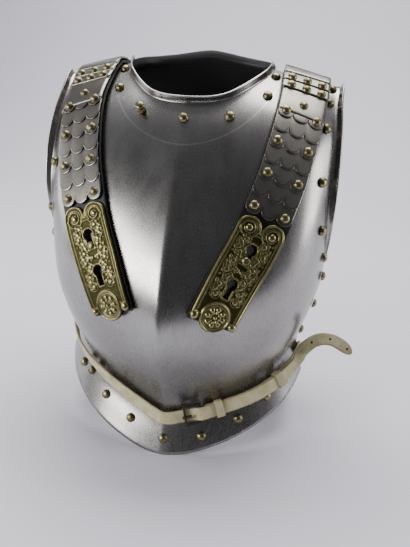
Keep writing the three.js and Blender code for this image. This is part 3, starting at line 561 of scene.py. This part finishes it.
class Ribbon:
    """The line of a CAD strip, with flat coordinates s, t and h in millimetres."""

    def __init__(self, node, start, sign=1):
        edges = long_edges(node)
        begin = edges[0][0]

        def far(point):
            return np.linalg.norm(point - begin)
        edges = [e if far(e[0]) < far(e[-1]) else e[::-1] for e in edges]
        above, *others = sorted(edges[1:], key=lambda e: far(e[0]))
        others.sort(key=lambda e: np.linalg.norm(e[0] - above[0]))
        rows = min(len(e) for e in edges)
        a, a_above, b_above, b = (e[:rows] for e in (edges[0], above, *others))
        self.point, self.across = (a + b) / 2, b - a
        self.normal = (a_above + b_above - a - b) / 2
        self.start, self.sign = start, sign

    def settle(self, low_first, outward):
        """Runs from the low end, or the -X end, with its up direction away from the body's axis."""
        axis = 2 if low_first else 0
        if self.point[0][axis] > self.point[-1][axis]:
            self.point, self.across, self.normal = self.point[::-1], self.across[::-1], self.normal[::-1]
        if np.dot(self.normal[len(self.normal) // 4], outward) < 0:
            self.point = self.point + self.normal
            self.normal = -self.normal
        along = np.gradient(self.point, axis=0)
        self.normal /= np.linalg.norm(self.normal, axis=1)[:, None]
        side = np.cross(self.normal, along) * self.sign
        side /= np.linalg.norm(side, axis=1)[:, None]
        flip = np.sign((self.across * side).sum(1))[:, None]
        self.across = self.across / np.linalg.norm(self.across, axis=1)[:, None] * flip
        steps = np.linalg.norm(np.diff(self.point, axis=0), axis=1)
        self.s = self.start + np.concatenate([[0], np.cumsum(steps)])
        return self

    def at(self, s, t, h):
        """Points in metres for arrays of flat coordinates."""
        s, t, h = (np.asarray(v, dtype=float).ravel() for v in (s, t, h))
        point, across, normal = (np.stack([hermite(self.s, values[:, k], s) for k in range(3)], axis=1)
                                 for values in (self.point, self.across, self.normal))
        return (point + across * t[:, None] + normal * h[:, None]) * MM


straps = {"left": Ribbon("strap_leather_left", LEATHER_START).settle(True, FRONT),
          "right": Ribbon("strap_leather_right", LEATHER_START, -1).settle(True, FRONT)}
belt_line = Ribbon("belt_buckle_half", 0).settle(False, FRONT)
tail_line = Ribbon("belt_tail_half", 0).settle(False, FRONT)
for name, ribbon in {**straps, "belt": belt_line, "tail": tail_line}.items():
    print(name, "s", round(ribbon.s[0], 1), "to", round(ribbon.s[-1], 1), "rows", len(ribbon.s))

# %% [markdown]
# ## Bent sheets
# Scales, lames and the belt are all thin plates with a shaped upper side. Solidify would give them one even
# thickness, and theirs fades towards the edges. So a plate is two grids of flat points, its top and its
# underside, stitched round the rim and bent onto the ribbon. Its flat coordinates stay on its points as an
# attribute, for the grooves, holes and browning in the materials.

# %% Bent sheets
class BentPlates:
    """Collects flat solids bent onto a ribbon into one mesh."""

    def __init__(self, ribbon):
        self.ribbon = ribbon
        self.verts, self.faces, self.flat = [], [], []

    def add(self, points, faces, mark=None):
        """The mark, if given, is stored instead of h as the third flat coordinate."""
        base = sum(len(v) for v in self.verts)
        points = np.asarray(points, dtype=float)
        self.verts.append(self.ribbon.at(*points.T))
        flat = points.copy()
        if mark is not None:
            flat[:, 2] = mark
        self.flat.append(flat)
        mirrored = self.ribbon.sign < 0
        self.faces += [tuple(base + k for k in (reversed(f) if mirrored else f)) for f in faces]

    def sheet(self, top, bottom, mark=None):
        """A closed solid from two grids of points, rows along s and columns across."""
        rows, columns = top.shape[:2]
        index = np.arange(rows * columns).reshape(rows, columns)
        under = index + rows * columns
        faces = []
        for j in range(rows - 1):
            for i in range(columns - 1):
                faces.append((index[j, i], index[j + 1, i], index[j + 1, i + 1], index[j, i + 1]))
                faces.append((under[j, i], under[j, i + 1], under[j + 1, i + 1], under[j + 1, i]))
        loop = [(0, i) for i in range(columns)] + [(j, columns - 1) for j in range(1, rows)]
        loop += [(rows - 1, i) for i in range(columns - 2, -1, -1)] + [(j, 0) for j in range(rows - 2, 0, -1)]
        for a, b in zip(loop, loop[1:] + loop[:1]):
            faces.append((index[a], index[b], under[b], under[a]))
        marks = None if mark is None else np.concatenate([np.ravel(mark)] * 2)
        self.add(np.concatenate([top.reshape(-1, 3), bottom.reshape(-1, 3)]), faces, marks)

    def piece(self, name, material, replaces=()):
        mesh = bpy.data.meshes.new(name)
        mesh.from_pydata([tuple(v) for v in np.concatenate(self.verts)], [], self.faces)
        mesh.validate()
        layer = mesh.attributes.new("flat", "FLOAT_VECTOR", "POINT")
        layer.data.foreach_set("vector", np.concatenate(self.flat).astype(np.float32).ravel())
        piece = bpy.data.objects.new(name, mesh)
        bpy.context.scene.collection.objects.link(piece)
        finish_piece(piece, material, replaces)
        print(name, len(mesh.polygons), "faces")
        return piece


# %% [markdown]
# ## Scales and lames
# A row of scales is one strip of steel whose lower edge is cut in three round lobes. A lame is a plain
# narrow strip. Each leans on the next one up, so it lies low at its top and stands off at its tip. A flat
# plate with a rotation would lean too, but it would cut into the bend of the shoulder. The lean is added to
# h, before the plate is bent.

# %% Scales and lames
LOBE = {"count": 3, "deep": 7.5, "columns": 16, "crown": 0.18}
SCALE_ROWS, SCALE_CROWN, SCALE_ROUND_OFF, SCALE_ROUND_REACH = 14, 0.25, 0.35, 0.8
LAME_TIP_REACH, LAME_SIDE_REACH, LAME_FALL, LAME_DEEPEST = 3.0, 1.6, 0.45, 0.5


def plain_plate(plates, tip, top, half, low, thick, rise, crown, columns=17, rows=11):
    """A plain plate that stands up by rise at its tip and is crowned across."""
    u = np.linspace(-1, 1, columns)
    s = np.repeat(tip + np.linspace(0, 1, rows)[:, None] * (top - tip), columns, axis=1)
    t = np.broadcast_to(u * half, s.shape)
    lean = low + rise * (1 - (s - tip) / (top - tip))
    near = np.minimum((s - tip) / LAME_TIP_REACH, 1.0)
    side = np.minimum((1 - np.abs(u))[None, :] * half / LAME_SIDE_REACH, 1.0)
    fall = LAME_FALL * (1 - np.minimum(near * 3.0, 1.0)) + LAME_FALL * (1 - side)
    bulge = crown * (1 - u[None, :] ** 2) * np.minimum(near + 0.3, 1.0)
    height = lean + thick + bulge - np.minimum(fall, LAME_DEEPEST)
    plates.sheet(np.stack([s, t, height], axis=-1), np.stack([s, t, lean], axis=-1))


def scale_row(plates, tip, top, half, low, thick, rise):
    """A plate with a lobed lower edge. Its third flat coordinate is the way in from that edge."""
    u = np.linspace(0, LOBE["count"], LOBE["count"] * LOBE["columns"] + 1)
    w = 2 * (u - np.minimum(np.floor(u), LOBE["count"] - 1)) - 1
    edge = LOBE["deep"] * (1 - np.sqrt(np.clip(1 - w ** 2, 0, 1)))
    v = np.linspace(0, 1, SCALE_ROWS)[:, None] ** 1.5
    s = (tip + edge)[None, :] + v * (top - tip - edge)[None, :]
    t = np.broadcast_to(-half + u / LOBE["count"] * 2 * half, s.shape)
    lean = low + rise * (1 - (s - tip) / (top - tip))
    above = s - tip - LOBE["deep"]
    reach = np.hypot(np.broadcast_to(w, s.shape), np.minimum(above, 0) / LOBE["deep"])
    inside = (1 - reach) * half / LOBE["count"] + np.clip(above, 0, None) * 0.9
    round_off = SCALE_ROUND_OFF * (1 - np.clip((s - tip - edge[None, :]) / SCALE_ROUND_REACH, 0, 1))
    crown = SCALE_CROWN * (1 - (t / half) ** 2) + LOBE["crown"] * (1 - w[None, :] ** 2)
    height = lean + thick + crown - round_off
    plates.sheet(np.stack([s, t, height], axis=-1), np.stack([s, t, lean], axis=-1), inside)


print("a row of scales has", LOBE["count"], "lobes")

# %% [markdown]
# ## Straps
# Each strap carries six rows of scales, a smooth plate at the shoulder and lames over the top, all riveted to
# black leather. Placing them one by one would be slow to change, so loops step them along the strap from a
# pitch. The rivet heads of a strap are joined in one piece, because they are small and never move apart.

# %% Straps
# Along a strap, s is in millimetres from the end plate's foot. "off" is a height above ON_LEATHER.
SCALES = {"from": 135, "pitch": 18, "rows": 6, "width": 51, "thick": 1.2, "rise": 1.7, "lap": 8, "off": 0.1,
          "rivet_up": 8.5, "rivet_off": 2.6}
SHOULDER = {"from": 243, "lobed_length": 17, "lobed_thick": 1.4, "lobed_rise": 0.8, "lobed_off": 0.9,
            "plain_from": 251, "plain_to": 292, "plain_thick": 1.8, "plain_rise": 1.3, "plain_off": 0.2,
            "crown": 0.6, "rivets_at": 252, "middle_rivet_at": 266, "rivet_off": 3.0}
LAMES = {"from": 287, "pitch": 14, "width": 53, "thick": 1.4, "rise": 1.6, "lap": 6, "off": 1.0, "crown": 0.3,
         "short_of_end": 4, "rivet_up": 5.5, "rivet_off": 3.6}
ON_LEATHER = 3.2
STRAP_RIVET = {"radius": 5.0, "height": 3.9, "sides": 20}


def strap_head(heads, ribbon, s, t, h):
    """One domed rivet head of the strap, standing up from flat coordinates."""
    radius, height = STRAP_RIVET["radius"], STRAP_RIVET["height"]
    foot = [(0, -0.3), (radius * 1.04, -0.3), (radius * 1.05, 0.2)]
    profile = foot + dome(radius, height) + [(0, height * 1.02)]
    place, above = (Vector(ribbon.at([s], [t], [z])[0]) for z in (h, h + 1))
    add_turned(heads, profile, place, (above - place).normalized(), STRAP_RIVET["sides"])


def strap_scales(side, heads):
    ribbon, third = straps[side], SCALES["width"] / 3
    plates = BentPlates(ribbon)
    for row in range(SCALES["rows"]):
        tip = SCALES["from"] + row * SCALES["pitch"]
        top = tip + SCALES["pitch"] + SCALES["lap"]
        low = ON_LEATHER + SCALES["off"]
        scale_row(plates, tip, top, SCALES["width"] / 2, low, SCALES["thick"], SCALES["rise"])
        if row % 2 == 0:
            for t in (-third, third):
                strap_head(heads, ribbon, tip + SCALES["rivet_up"], t, ON_LEATHER + SCALES["rivet_off"])
    plates.piece(f"scales_{side}", SCALE_STEEL, (f"strap_scales_{side}",))


def strap_shoulder_plate(side, heads):
    ribbon, third, half = straps[side], SCALES["width"] / 3, SCALES["width"] / 2
    plates = BentPlates(ribbon)
    scale_row(plates, SHOULDER["from"], SHOULDER["from"] + SHOULDER["lobed_length"], half,
              ON_LEATHER + SHOULDER["lobed_off"], SHOULDER["lobed_thick"], SHOULDER["lobed_rise"])
    plain_plate(plates, SHOULDER["plain_from"], SHOULDER["plain_to"], half,
                ON_LEATHER + SHOULDER["plain_off"], SHOULDER["plain_thick"], SHOULDER["plain_rise"],
                SHOULDER["crown"], rows=25)
    plates.piece(f"shoulder_plate_{side}", SCALE_STEEL, (f"strap_shoulder_plate_{side}",))
    for t in (-third, third):
        strap_head(heads, ribbon, SHOULDER["rivets_at"], t, ON_LEATHER + SHOULDER["rivet_off"])
    strap_head(heads, ribbon, SHOULDER["middle_rivet_at"], 0, ON_LEATHER + SHOULDER["rivet_off"])


def strap_lames(side, heads):
    ribbon, third = straps[side], SCALES["width"] / 3
    plates = BentPlates(ribbon)
    count = int((ribbon.s[-1] - LAMES["short_of_end"] - LAMES["from"]) // LAMES["pitch"])
    for row in range(count):
        foot = LAMES["from"] + row * LAMES["pitch"]
        top = foot + LAMES["pitch"] + (LAMES["lap"] if row < count - 1 else 0)
        plain_plate(plates, foot, top, LAMES["width"] / 2, ON_LEATHER + LAMES["off"], LAMES["thick"],
                    LAMES["rise"], LAMES["crown"], columns=21)
        if row < 2 or row == count - 1:
            for t in (-third, 0, third):
                strap_head(heads, ribbon, foot + LAMES["rivet_up"], t, ON_LEATHER + LAMES["rivet_off"])
    plates.piece(f"lames_{side}", SCALE_STEEL, (f"strap_lames_{side}",))


def repaint(node, material):
    """A CAD node that is kept as it is gets its material."""
    bpy.data.objects[node].data.materials.clear()
    bpy.data.objects[node].data.materials.append(material)


for side in straps:
    heads = bmesh.new()
    strap_scales(side, heads)
    strap_shoulder_plate(side, heads)
    strap_lames(side, heads)
    bmesh_piece(heads, f"strap_rivets_{side}", BRASS)
    repaint(f"strap_leather_{side}", BLACK_LEATHER)

# %% [markdown]
# ## End plates
# A strap ends in a cast brass plate with two keyholes that hook over a stud, two curls at its top, a rosette
# at its foot and leaves between. Its outline is a box and a few circles. Booleans could join them and cut the
# holes, but the relief needs an even grid anyway. So the outline is a signed distance: how far a point of the
# flat plate is from the edge, negative inside. The least of several distances joins shapes.

# %% Outline of an end plate
END = {"foot": 20, "half": 25.8, "low": 3.3, "thick": 2.2, "rosette": (25, 16.5), "curl": (121, 12.8, 13),
       "keyholes": (101, 62), "eye": 5.4, "slot": 2.8, "drop": 15, "bead": (21, 21.6, 4.6)}


def round_box(s, t, s0, s1, half, corner=0.0):
    ds = np.abs(s - (s0 + s1) / 2) - (s1 - s0) / 2 + corner
    dt = np.abs(t) - half + corner
    outside = np.hypot(np.maximum(ds, 0), np.maximum(dt, 0))
    return outside + np.minimum(np.maximum(ds, dt), 0) - corner


def end_outline(s, t):
    """Signed distance to the plate's outline, without its keyholes."""
    curl_s, curl_t, curl_r = END["curl"]
    body = round_box(s, t, END["foot"], curl_s, END["half"], 1.0)
    curls = np.hypot(s - curl_s, np.abs(t) - curl_t) - curl_r
    rosette = np.hypot(s - END["rosette"][0], t) - END["rosette"][1]
    bead = np.hypot(s - END["bead"][0], np.abs(t) - END["bead"][1]) - END["bead"][2]
    return np.minimum.reduce([body, curls, rosette, bead])


def keyholes(s, t):
    """Signed distance to the nearer keyhole: a round eye over a slot."""
    holes = []
    for centre in END["keyholes"]:
        eye = np.hypot(s - centre, t) - END["eye"]
        slot = round_box(s, t, centre - END["drop"], centre, END["slot"])
        holes.append(np.minimum(eye, slot))
    return np.minimum(*holes)


print("end plate", 2 * END["half"], "mm wide")

# %% [markdown]
# The cast relief could be sculpted, and would then be hard to repeat on the other side. It is written as
# heights over the flat plate instead: ridges follow a distance, and leaves, petals and beads are small round
# bosses set out by loops. The greatest height wins, as when wax is laid on a wax pattern.

# %% Relief of an end plate
BORDER = ((1.3, 1.2, 1.5), (4.6, 1.0, 0.9), (2.9, 0.5, 0.35))  # in from the edge, half width, height
SPIRAL = {"eye": 4.2, "start": 4.4, "growth": 3.0, "pitch": 4.6, "half": 1.1, "height": 1.3, "below": 9,
          "margin": 2.4, "boss_radius": 4.0, "boss_height": 2.8}
HOLE_RIM = {"out": 1.5, "half": 1.1, "height": 1.1, "band": 1.2}
SIDE_BAND = {"width": 6.4, "below_curl": 8, "least": 0.2, "ground": 0.15}
BEAD_HEIGHT = 4.4
LEAVES = {"count": 13, "from": 27, "pitch": 5.2, "middle": 11.5, "swing": 3.2, "turn": 1.35}
PETAL_RINGS = ((8.4, 2.9, 2.6), (5.2, 2.0, 2.2))  # out from the middle, radius, height


def ridge(distance, width):
    return np.clip(1 - (distance / width) ** 2, 0, 1)


def boss(s, t, s0, t0, r, height):
    return height * np.sqrt(np.clip(1 - ((s - s0) ** 2 + (t - t0) ** 2) / r ** 2, 0, 1))


def curl_relief(s, t):
    """A spiral in each curl, round a boss."""
    curl_s, curl_t, curl_r = END["curl"]
    reach = np.hypot(s - curl_s, np.abs(t) - curl_t)
    angle = np.arctan2(s - curl_s, curl_t - np.abs(t))
    start = SPIRAL["start"] + SPIRAL["growth"] * (angle / (2 * math.pi) + 0.5)
    spiral = (reach - start) % SPIRAL["pitch"] - SPIRAL["pitch"] / 2
    line = SPIRAL["height"] * ridge(SPIRAL["pitch"] / 2 - np.abs(spiral), SPIRAL["half"])
    in_curl = (reach > SPIRAL["eye"]) & (reach < curl_r - SPIRAL["margin"]) & (s > curl_s - SPIRAL["below"])
    curl = np.where(in_curl, line, 0)
    radius, height = SPIRAL["boss_radius"], SPIRAL["boss_height"]
    eyes = boss(s, t, curl_s, curl_t, radius, height) + boss(s, t, curl_s, -curl_t, radius, height)
    return np.maximum(curl, eyes)


def leaf_relief(s, side):
    """Two mirrored stems with leaves, a ring and berries at each step, and a row between the keyholes."""
    h = np.zeros_like(s)
    for k in range(LEAVES["count"]):
        stem_s = END["foot"] + LEAVES["from"] + k * LEAVES["pitch"]
        stem_t = LEAVES["middle"] + LEAVES["swing"] * math.sin(k * LEAVES["turn"])
        swing = math.cos(k * LEAVES["turn"])
        # on from the stem, across, radius, height
        bosses = ((0.0, stem_t, 2.9, 1.6), (2.4, stem_t - 4.2 * swing, 2.0, 1.3),
                  (-2.2, stem_t + 3.9 * swing, 1.7, 1.2), (1.1, 5.2 + 1.5 * math.cos(k * 2.1), 1.5, 1.0),
                  (-1.4, 17.0 + 0.8 * math.sin(k * 2.3), 1.3, 0.9))
        for on, across, radius, height in bosses:
            h = np.maximum(h, boss(s, side, stem_s + on, across, radius, height))
        h = np.maximum(h, 0.9 * ridge(np.hypot(s - stem_s, side - stem_t) - 4.6, 0.7))
    for k in range(4):
        h = np.maximum(h, boss(s, side, 76.5 + k * 0.6, 2.2 + k * 2.4, 2.1, 1.5))
    return h


def rosette_relief(s, t):
    """Two rings round eight petals and a middle boss."""
    middle, radius = END["rosette"]
    reach = np.hypot(s - middle, t)
    rings = 1.6 * ridge(reach - (radius - 1.6), 1.2) + 0.7 * ridge(reach - (radius - 4.0), 0.8)
    petals = boss(s, t, middle, 0, 2.5, 3.6)
    for k in range(8):
        turn = 2 * math.pi * k / 8
        for out, size, high in PETAL_RINGS:
            spot = (middle + out * math.cos(turn), out * math.sin(turn))
            petals = np.maximum(petals, boss(s, t, *spot, size, high))
    return reach < radius + 0.3, np.maximum(rings, petals) + 0.5


def end_relief(s, t):
    """The height of the casting over its ground."""
    side, inside, holes = np.abs(t), -end_outline(s, t), keyholes(s, t)
    curl_s = END["curl"][0]
    border = sum(height * ridge(inside - into, width) for into, width, height in BORDER)
    off_rosette = np.hypot(s - END["rosette"][0], t) > END["rosette"][1] - 1
    h = np.where(off_rosette & (s > END["foot"] + 3), border, 0)
    h = np.maximum(h, curl_relief(s, t))
    h = np.maximum(h, HOLE_RIM["height"] * ridge(holes - HOLE_RIM["out"], HOLE_RIM["half"]))
    h = np.maximum(h, leaf_relief(s, side))
    h = np.where(holes < HOLE_RIM["band"], np.minimum(h, HOLE_RIM["height"]), h)
    on_side = (side > END["half"] - SIDE_BAND["width"]) & (s < curl_s - SIDE_BAND["below_curl"])
    h = np.where(on_side, np.where(border > SIDE_BAND["least"], border, SIDE_BAND["ground"]), h)
    on_rosette, rosette = rosette_relief(s, t)
    h = np.where(on_rosette, rosette, h)
    bead_s, bead_t, bead_r = END["bead"]
    return np.maximum(h, boss(s, side, bead_s, bead_t, bead_r, BEAD_HEIGHT))


print("relief: border, curls,", LEAVES["count"], "leaves on each side, rosette and beads")

# %% [markdown]
# The casting is a grid of half-millimetre cells. Cells that are wholly on the plate are kept, and the points
# along their rim are moved onto the true outline, so the edge is smooth and not a staircase. The same cells
# seen from below close the underside, and walls join the two where a cell has no neighbour.

# %% Castings
GRID_STEP, GRID_MARGIN, PROBE, RIM_LIFT, RELIEF_SHARE = 0.5, 2.0, 0.05, 0.3, 0.9


def plate_distance(s, t):
    return np.maximum(end_outline(s, t), -keyholes(s, t))


def plate_grid():
    """The grid's flat places, the cells kept, the points they use and those of them on the rim."""
    s_start = END["rosette"][0] - END["rosette"][1] - GRID_MARGIN
    s_values = np.arange(s_start, END["curl"][0] + END["curl"][2] + GRID_MARGIN, GRID_STEP)
    t_values = np.arange(-END["half"] - GRID_MARGIN, END["half"] + GRID_MARGIN + GRID_STEP, GRID_STEP)
    s, t = np.meshgrid(s_values, t_values, indexing="ij")
    distance = plate_distance(s, t)
    kept = distance < 0
    cells = kept[:-1, :-1] & kept[1:, :-1] & kept[:-1, 1:] & kept[1:, 1:]
    used, full = np.zeros_like(kept), np.zeros_like(kept)
    for a in (0, 1):
        for b in (0, 1):
            used[a:used.shape[0] - 1 + a, b:used.shape[1] - 1 + b] |= cells
    full[1:-1, 1:-1] = cells[:-1, :-1] & cells[1:, :-1] & cells[:-1, 1:] & cells[1:, 1:]
    rim = used & ~full
    slope_s = (plate_distance(s + PROBE, t) - plate_distance(s - PROBE, t)) / (2 * PROBE)
    slope_t = (plate_distance(s, t + PROBE) - plate_distance(s, t - PROBE)) / (2 * PROBE)
    s, t = np.where(rim, s - distance * slope_s, s), np.where(rim, t - distance * slope_t, t)
    return s, t, cells, used, rim


def casting_faces(cells, used):
    """Faces of the top and the underside, and a wall at each edge that only one cell has."""
    count = int(used.sum())
    index = -np.ones(used.shape, dtype=int)
    index[used] = np.arange(count)
    faces, edges = [], {}
    for j, i in zip(*np.nonzero(cells)):
        quad = (index[j, i], index[j + 1, i], index[j + 1, i + 1], index[j, i + 1])
        faces.append(quad)
        faces.append(tuple(count + k for k in reversed(quad)))
        edges.update({pair: True for pair in zip(quad, quad[1:] + quad[:1])})
    faces += [(b, a, a + count, b + count) for a, b in edges if (b, a) not in edges]
    return faces


def end_plate(side):
    s, t, cells, used, rim = plate_grid()
    lift = end_relief(s, t)
    lift = np.where(rim, np.minimum(lift, RIM_LIFT), lift)[used]
    s, t = s[used], t[used]
    top = np.stack([s, t, END["low"] + END["thick"] + lift * RELIEF_SHARE], axis=1)
    bottom = np.stack([s, t, np.full(len(s), END["low"])], axis=1)
    plates = BentPlates(straps[side])
    plates.add(np.concatenate([top, bottom]), casting_faces(cells, used), np.concatenate([lift, 0 * lift]))
    plates.piece(f"end_plate_casting_{side}", CAST_BRASS, (f"end_plate_{side}",))


for side in straps:
    end_plate(side)
    repaint(f"strap_stud_{side}", BRASS)

# %% [markdown]
# ## Belt
# The belt is thick leather with softened edges. Its free end is rounded and hangs past the buckle. A Bevel
# would round the CAD strip's edges but leave no even grid for the browning and the holes, so each half is a
# sheet on its own ribbon whose height falls away near its sides.

# %% Belt
BELT_THICK, BELT_STEP = 3.0, 2.5
EDGE_ROUND, EDGE_FROM = 0.9, 0.8
TAIL_TIP, BROWNED_LENGTH, BROWNING_FADE = 16.0, 55, 50


def belt_strip(name, ribbon, replaces, tip=0.0, browning_from=None):
    """One half of the belt. Its third flat coordinate grows towards the free end, where the leather is
    browner.
    """
    rows = max(40, int((ribbon.s[-1] - ribbon.s[0]) / BELT_STEP))
    u = np.linspace(-1, 1, 15)
    s = np.repeat(np.linspace(ribbon.s[0], ribbon.s[-1], rows)[:, None], len(u), axis=1)
    left = np.clip((ribbon.s[-1] - s) / tip, 0, 1) if tip else np.ones_like(s)
    t = u[None, :] * BELT_WIDTH / 2 * np.sqrt(np.clip(1 - (1 - left) ** 2, 0.02, 1))
    round_off = EDGE_ROUND * np.clip((np.abs(u) - EDGE_FROM) / (1 - EDGE_FROM), 0, 1) ** 2
    h = np.broadcast_to(round_off, s.shape)
    # Grows from 0 to 1 towards the free end, where the leather is browner and has holes.
    toward_tip = np.zeros_like(s) if browning_from is None else np.clip((s - browning_from) / BROWNING_FADE, 0, 1)
    plates = BentPlates(ribbon)
    plates.sheet(np.stack([s, t, BELT_THICK - h], axis=-1), np.stack([s, t, h], axis=-1), toward_tip)
    plates.piece(name, BELT, replaces)


belt_strip("belt_buckle_strip", belt_line, ("belt_buckle_half",))
belt_strip("belt_tail_strip", tail_line, ("belt_tail_half",), TAIL_TIP, tail_line.s[-1] - BROWNED_LENGTH)

# %% [markdown]
# ## Buckle and keepers
# The buckle is a bent iron rod with a tongue, and two leather loops keep the belt's end down. The CAD has
# their true shapes with hard edges. Drawing them again would gain nothing: flat faces are dissolved back to
# whole ones, and a bevel of a real width rounds each sharp edge, so it catches a thin line of light.

# %% Buckle and keepers
FLAT_TURN, HARD_TURN = math.radians(4), math.radians(40)


def softened(node, name, material, width_mm, segments=3):
    mesh = node_mesh(node)
    bmesh.ops.dissolve_limit(mesh, angle_limit=FLAT_TURN, verts=mesh.verts, edges=mesh.edges)
    sharp = [e for e in mesh.edges if e.calc_face_angle(0.0) > HARD_TURN]
    bmesh.ops.bevel(mesh, geom=sharp, offset=width_mm * MM, segments=segments, profile=0.5, affect="EDGES")
    piece = bmesh_piece(mesh, name, material, (node,))
    print(name, len(sharp), "edges softened")
    return piece


softened("buckle_frame", "buckle_ring", IRON, 1.0)
softened("buckle_tongue", "buckle_pin", IRON, 0.6)
softened("keeper_front", "keeper_loop_front", LOOP_LEATHER, 0.6)
softened("keeper_side", "keeper_loop_side", LOOP_LEATHER, 0.6)

# %% [markdown]
# ## Floor
# A cuirass on show stands on a pale sweep, a sheet that lies flat and curves up behind with no corner. A
# plane and a wall would meet in a line. The sweep's outline is drawn once from the side, with an arc between
# its straights, and extruded to its width.

# %% Floor
SWEEP = {"front": -0.55, "bend": 0.9, "radius": 0.8, "top": 4.0, "half": 4.0}


def stage_floor():
    bend, radius = SWEEP["bend"], SWEEP["radius"]
    turns = np.linspace(0.1, math.pi / 2, 14)
    arc = [(bend + radius * math.sin(a), radius - radius * math.cos(a)) for a in turns]
    profile = [(SWEEP["front"], 0.0), (bend, 0.0)] + arc + [(bend + radius, SWEEP["top"])]
    mesh = bmesh.new()
    points = [mesh.verts.new((-SWEEP["half"], y, z)) for y, z in profile]
    edges = [mesh.edges.new(pair) for pair in zip(points, points[1:])]
    swept = bmesh.ops.extrude_edge_only(mesh, edges=edges)["geom"]
    moved = [v for v in swept if isinstance(v, bmesh.types.BMVert)]
    bmesh.ops.translate(mesh, verts=moved, vec=(2 * SWEEP["half"], 0, 0))
    mesh.normal_update()
    if sum(face.normal.z for face in mesh.faces) < 0:
        bmesh.ops.reverse_faces(mesh, faces=mesh.faces)
    floor = linked_object(mesh, "sweep")
    material, _ = new_material("pale_floor")
    floor.data.materials.append(set_surface(material, {"Base Color": colour("#d6d5de"), "Roughness": 0.9}))
    for polygon in floor.data.polygons:
        polygon.use_smooth = True
    print("floor", len(floor.data.polygons), "faces")


stage_floor()

# %% [markdown]
# ## Lights
# Polished steel shows whatever stands round it, so lighting it means placing things for it to reflect. Small
# lamps would leave hard sparks. Large soft panels stand left, right and above, and the room itself is pale
# behind and dark in front, which gives the breast its dark middle beside the keel.

# %% Lights
PANELS = {  # place, what it faces, width and height, watts
    "left_softbox": ((-0.98, -0.98, 0.52), (0, 0, 0.25), (0.62, 0.5), 15),
    "left_wall": ((-1.3, 0.1, 0.5), (0, 0, 0.2), (0.6, 0.8), 6),
    "right_softbox": ((1.3, 0.1, 0.5), (0, 0, 0.22), (0.5, 0.8), 8),
    "overhead": ((0.0, 0.75, 1.9), (0, 0.1, 0.1), (1.8, 1.0), 58)}


def area_light(name, place, target, size, power):
    light = bpy.data.lights.new(name, "AREA")
    light.shape = "RECTANGLE"
    light.size, light.size_y = size
    light.energy = power
    lamp = bpy.data.objects.new(name, light)
    lamp.location = place
    lamp.rotation_euler = (Vector(target) - Vector(place)).to_track_quat("-Z", "Y").to_euler()
    bpy.context.scene.collection.objects.link(lamp)


def room_light():
    """A room that is pale behind the cuirass and dark in front of it."""
    world = bpy.data.worlds.new("room")
    bpy.context.scene.world = world
    world.use_nodes = True
    tree = world.node_tree
    place = add_node(tree, "TexCoord", output="Generated")
    depth = add_node(tree, "SeparateXYZ", {"Vector": place}, output=1)
    strength = add_node(tree, "MapRange", {"Value": depth, "From Min": -0.65, "From Max": 0.35,
                                           "To Min": 0.13, "To Max": 0.88},
                        interpolation_type="SMOOTHSTEP")
    fill(tree, tree.nodes["Background"], {"Color": colour("#cfcfd8"), "Strength": strength})


for name, settings in PANELS.items():
    area_light(name, *settings)
room_light()
print(len(PANELS), "panels")

# %% [markdown]
# ## Camera
# The cuirass is seen from a little above and a little to one side, from 0.8 m away, so nearer parts look
# larger. A Track To constraint could aim the camera, but it can't hold a slight roll. The camera's three axes
# are worked out from its angles instead. Its target keeps its place beside the keel and the plate's front.

# %% Camera
VIEW = {"azimuth": 0.17266, "elevation": 0.39560, "roll": 0.03847, "distance": 800.14,
        "target": (10.42, 29.08, 152.65), "front": -178.9, "focal_share": 600 / 410}
SENSOR = 36


def make_camera():
    az, el, roll = VIEW["azimuth"], VIEW["elevation"], VIEW["roll"]
    right = Vector((math.cos(az), math.sin(az), 0))
    up = Vector((-math.sin(az) * math.sin(el), math.cos(az) * math.sin(el), math.cos(el)))
    ahead = Vector((-math.sin(az) * math.cos(el), math.cos(az) * math.cos(el), -math.sin(el)))
    shift = Vector((KEEL_X / MM, FRONT_Y / MM - VIEW["front"], 0))
    place = (Vector(VIEW["target"]) + shift - VIEW["distance"] * ahead) * MM
    x = math.cos(roll) * right + math.sin(roll) * up
    y = -math.sin(roll) * right + math.cos(roll) * up
    data = bpy.data.cameras.new("camera")
    data.sensor_fit = "HORIZONTAL"
    data.sensor_width = SENSOR
    data.lens = SENSOR * VIEW["focal_share"]
    camera = bpy.data.objects.new("camera", data)
    camera.matrix_world = Matrix.Translation(place) @ Matrix((x, y, -ahead)).transposed().to_4x4()
    bpy.context.scene.collection.objects.link(camera)
    bpy.context.scene.camera = camera
    print("camera at", [round(v, 3) for v in place], "lens", round(data.lens, 2), "mm")


make_camera()
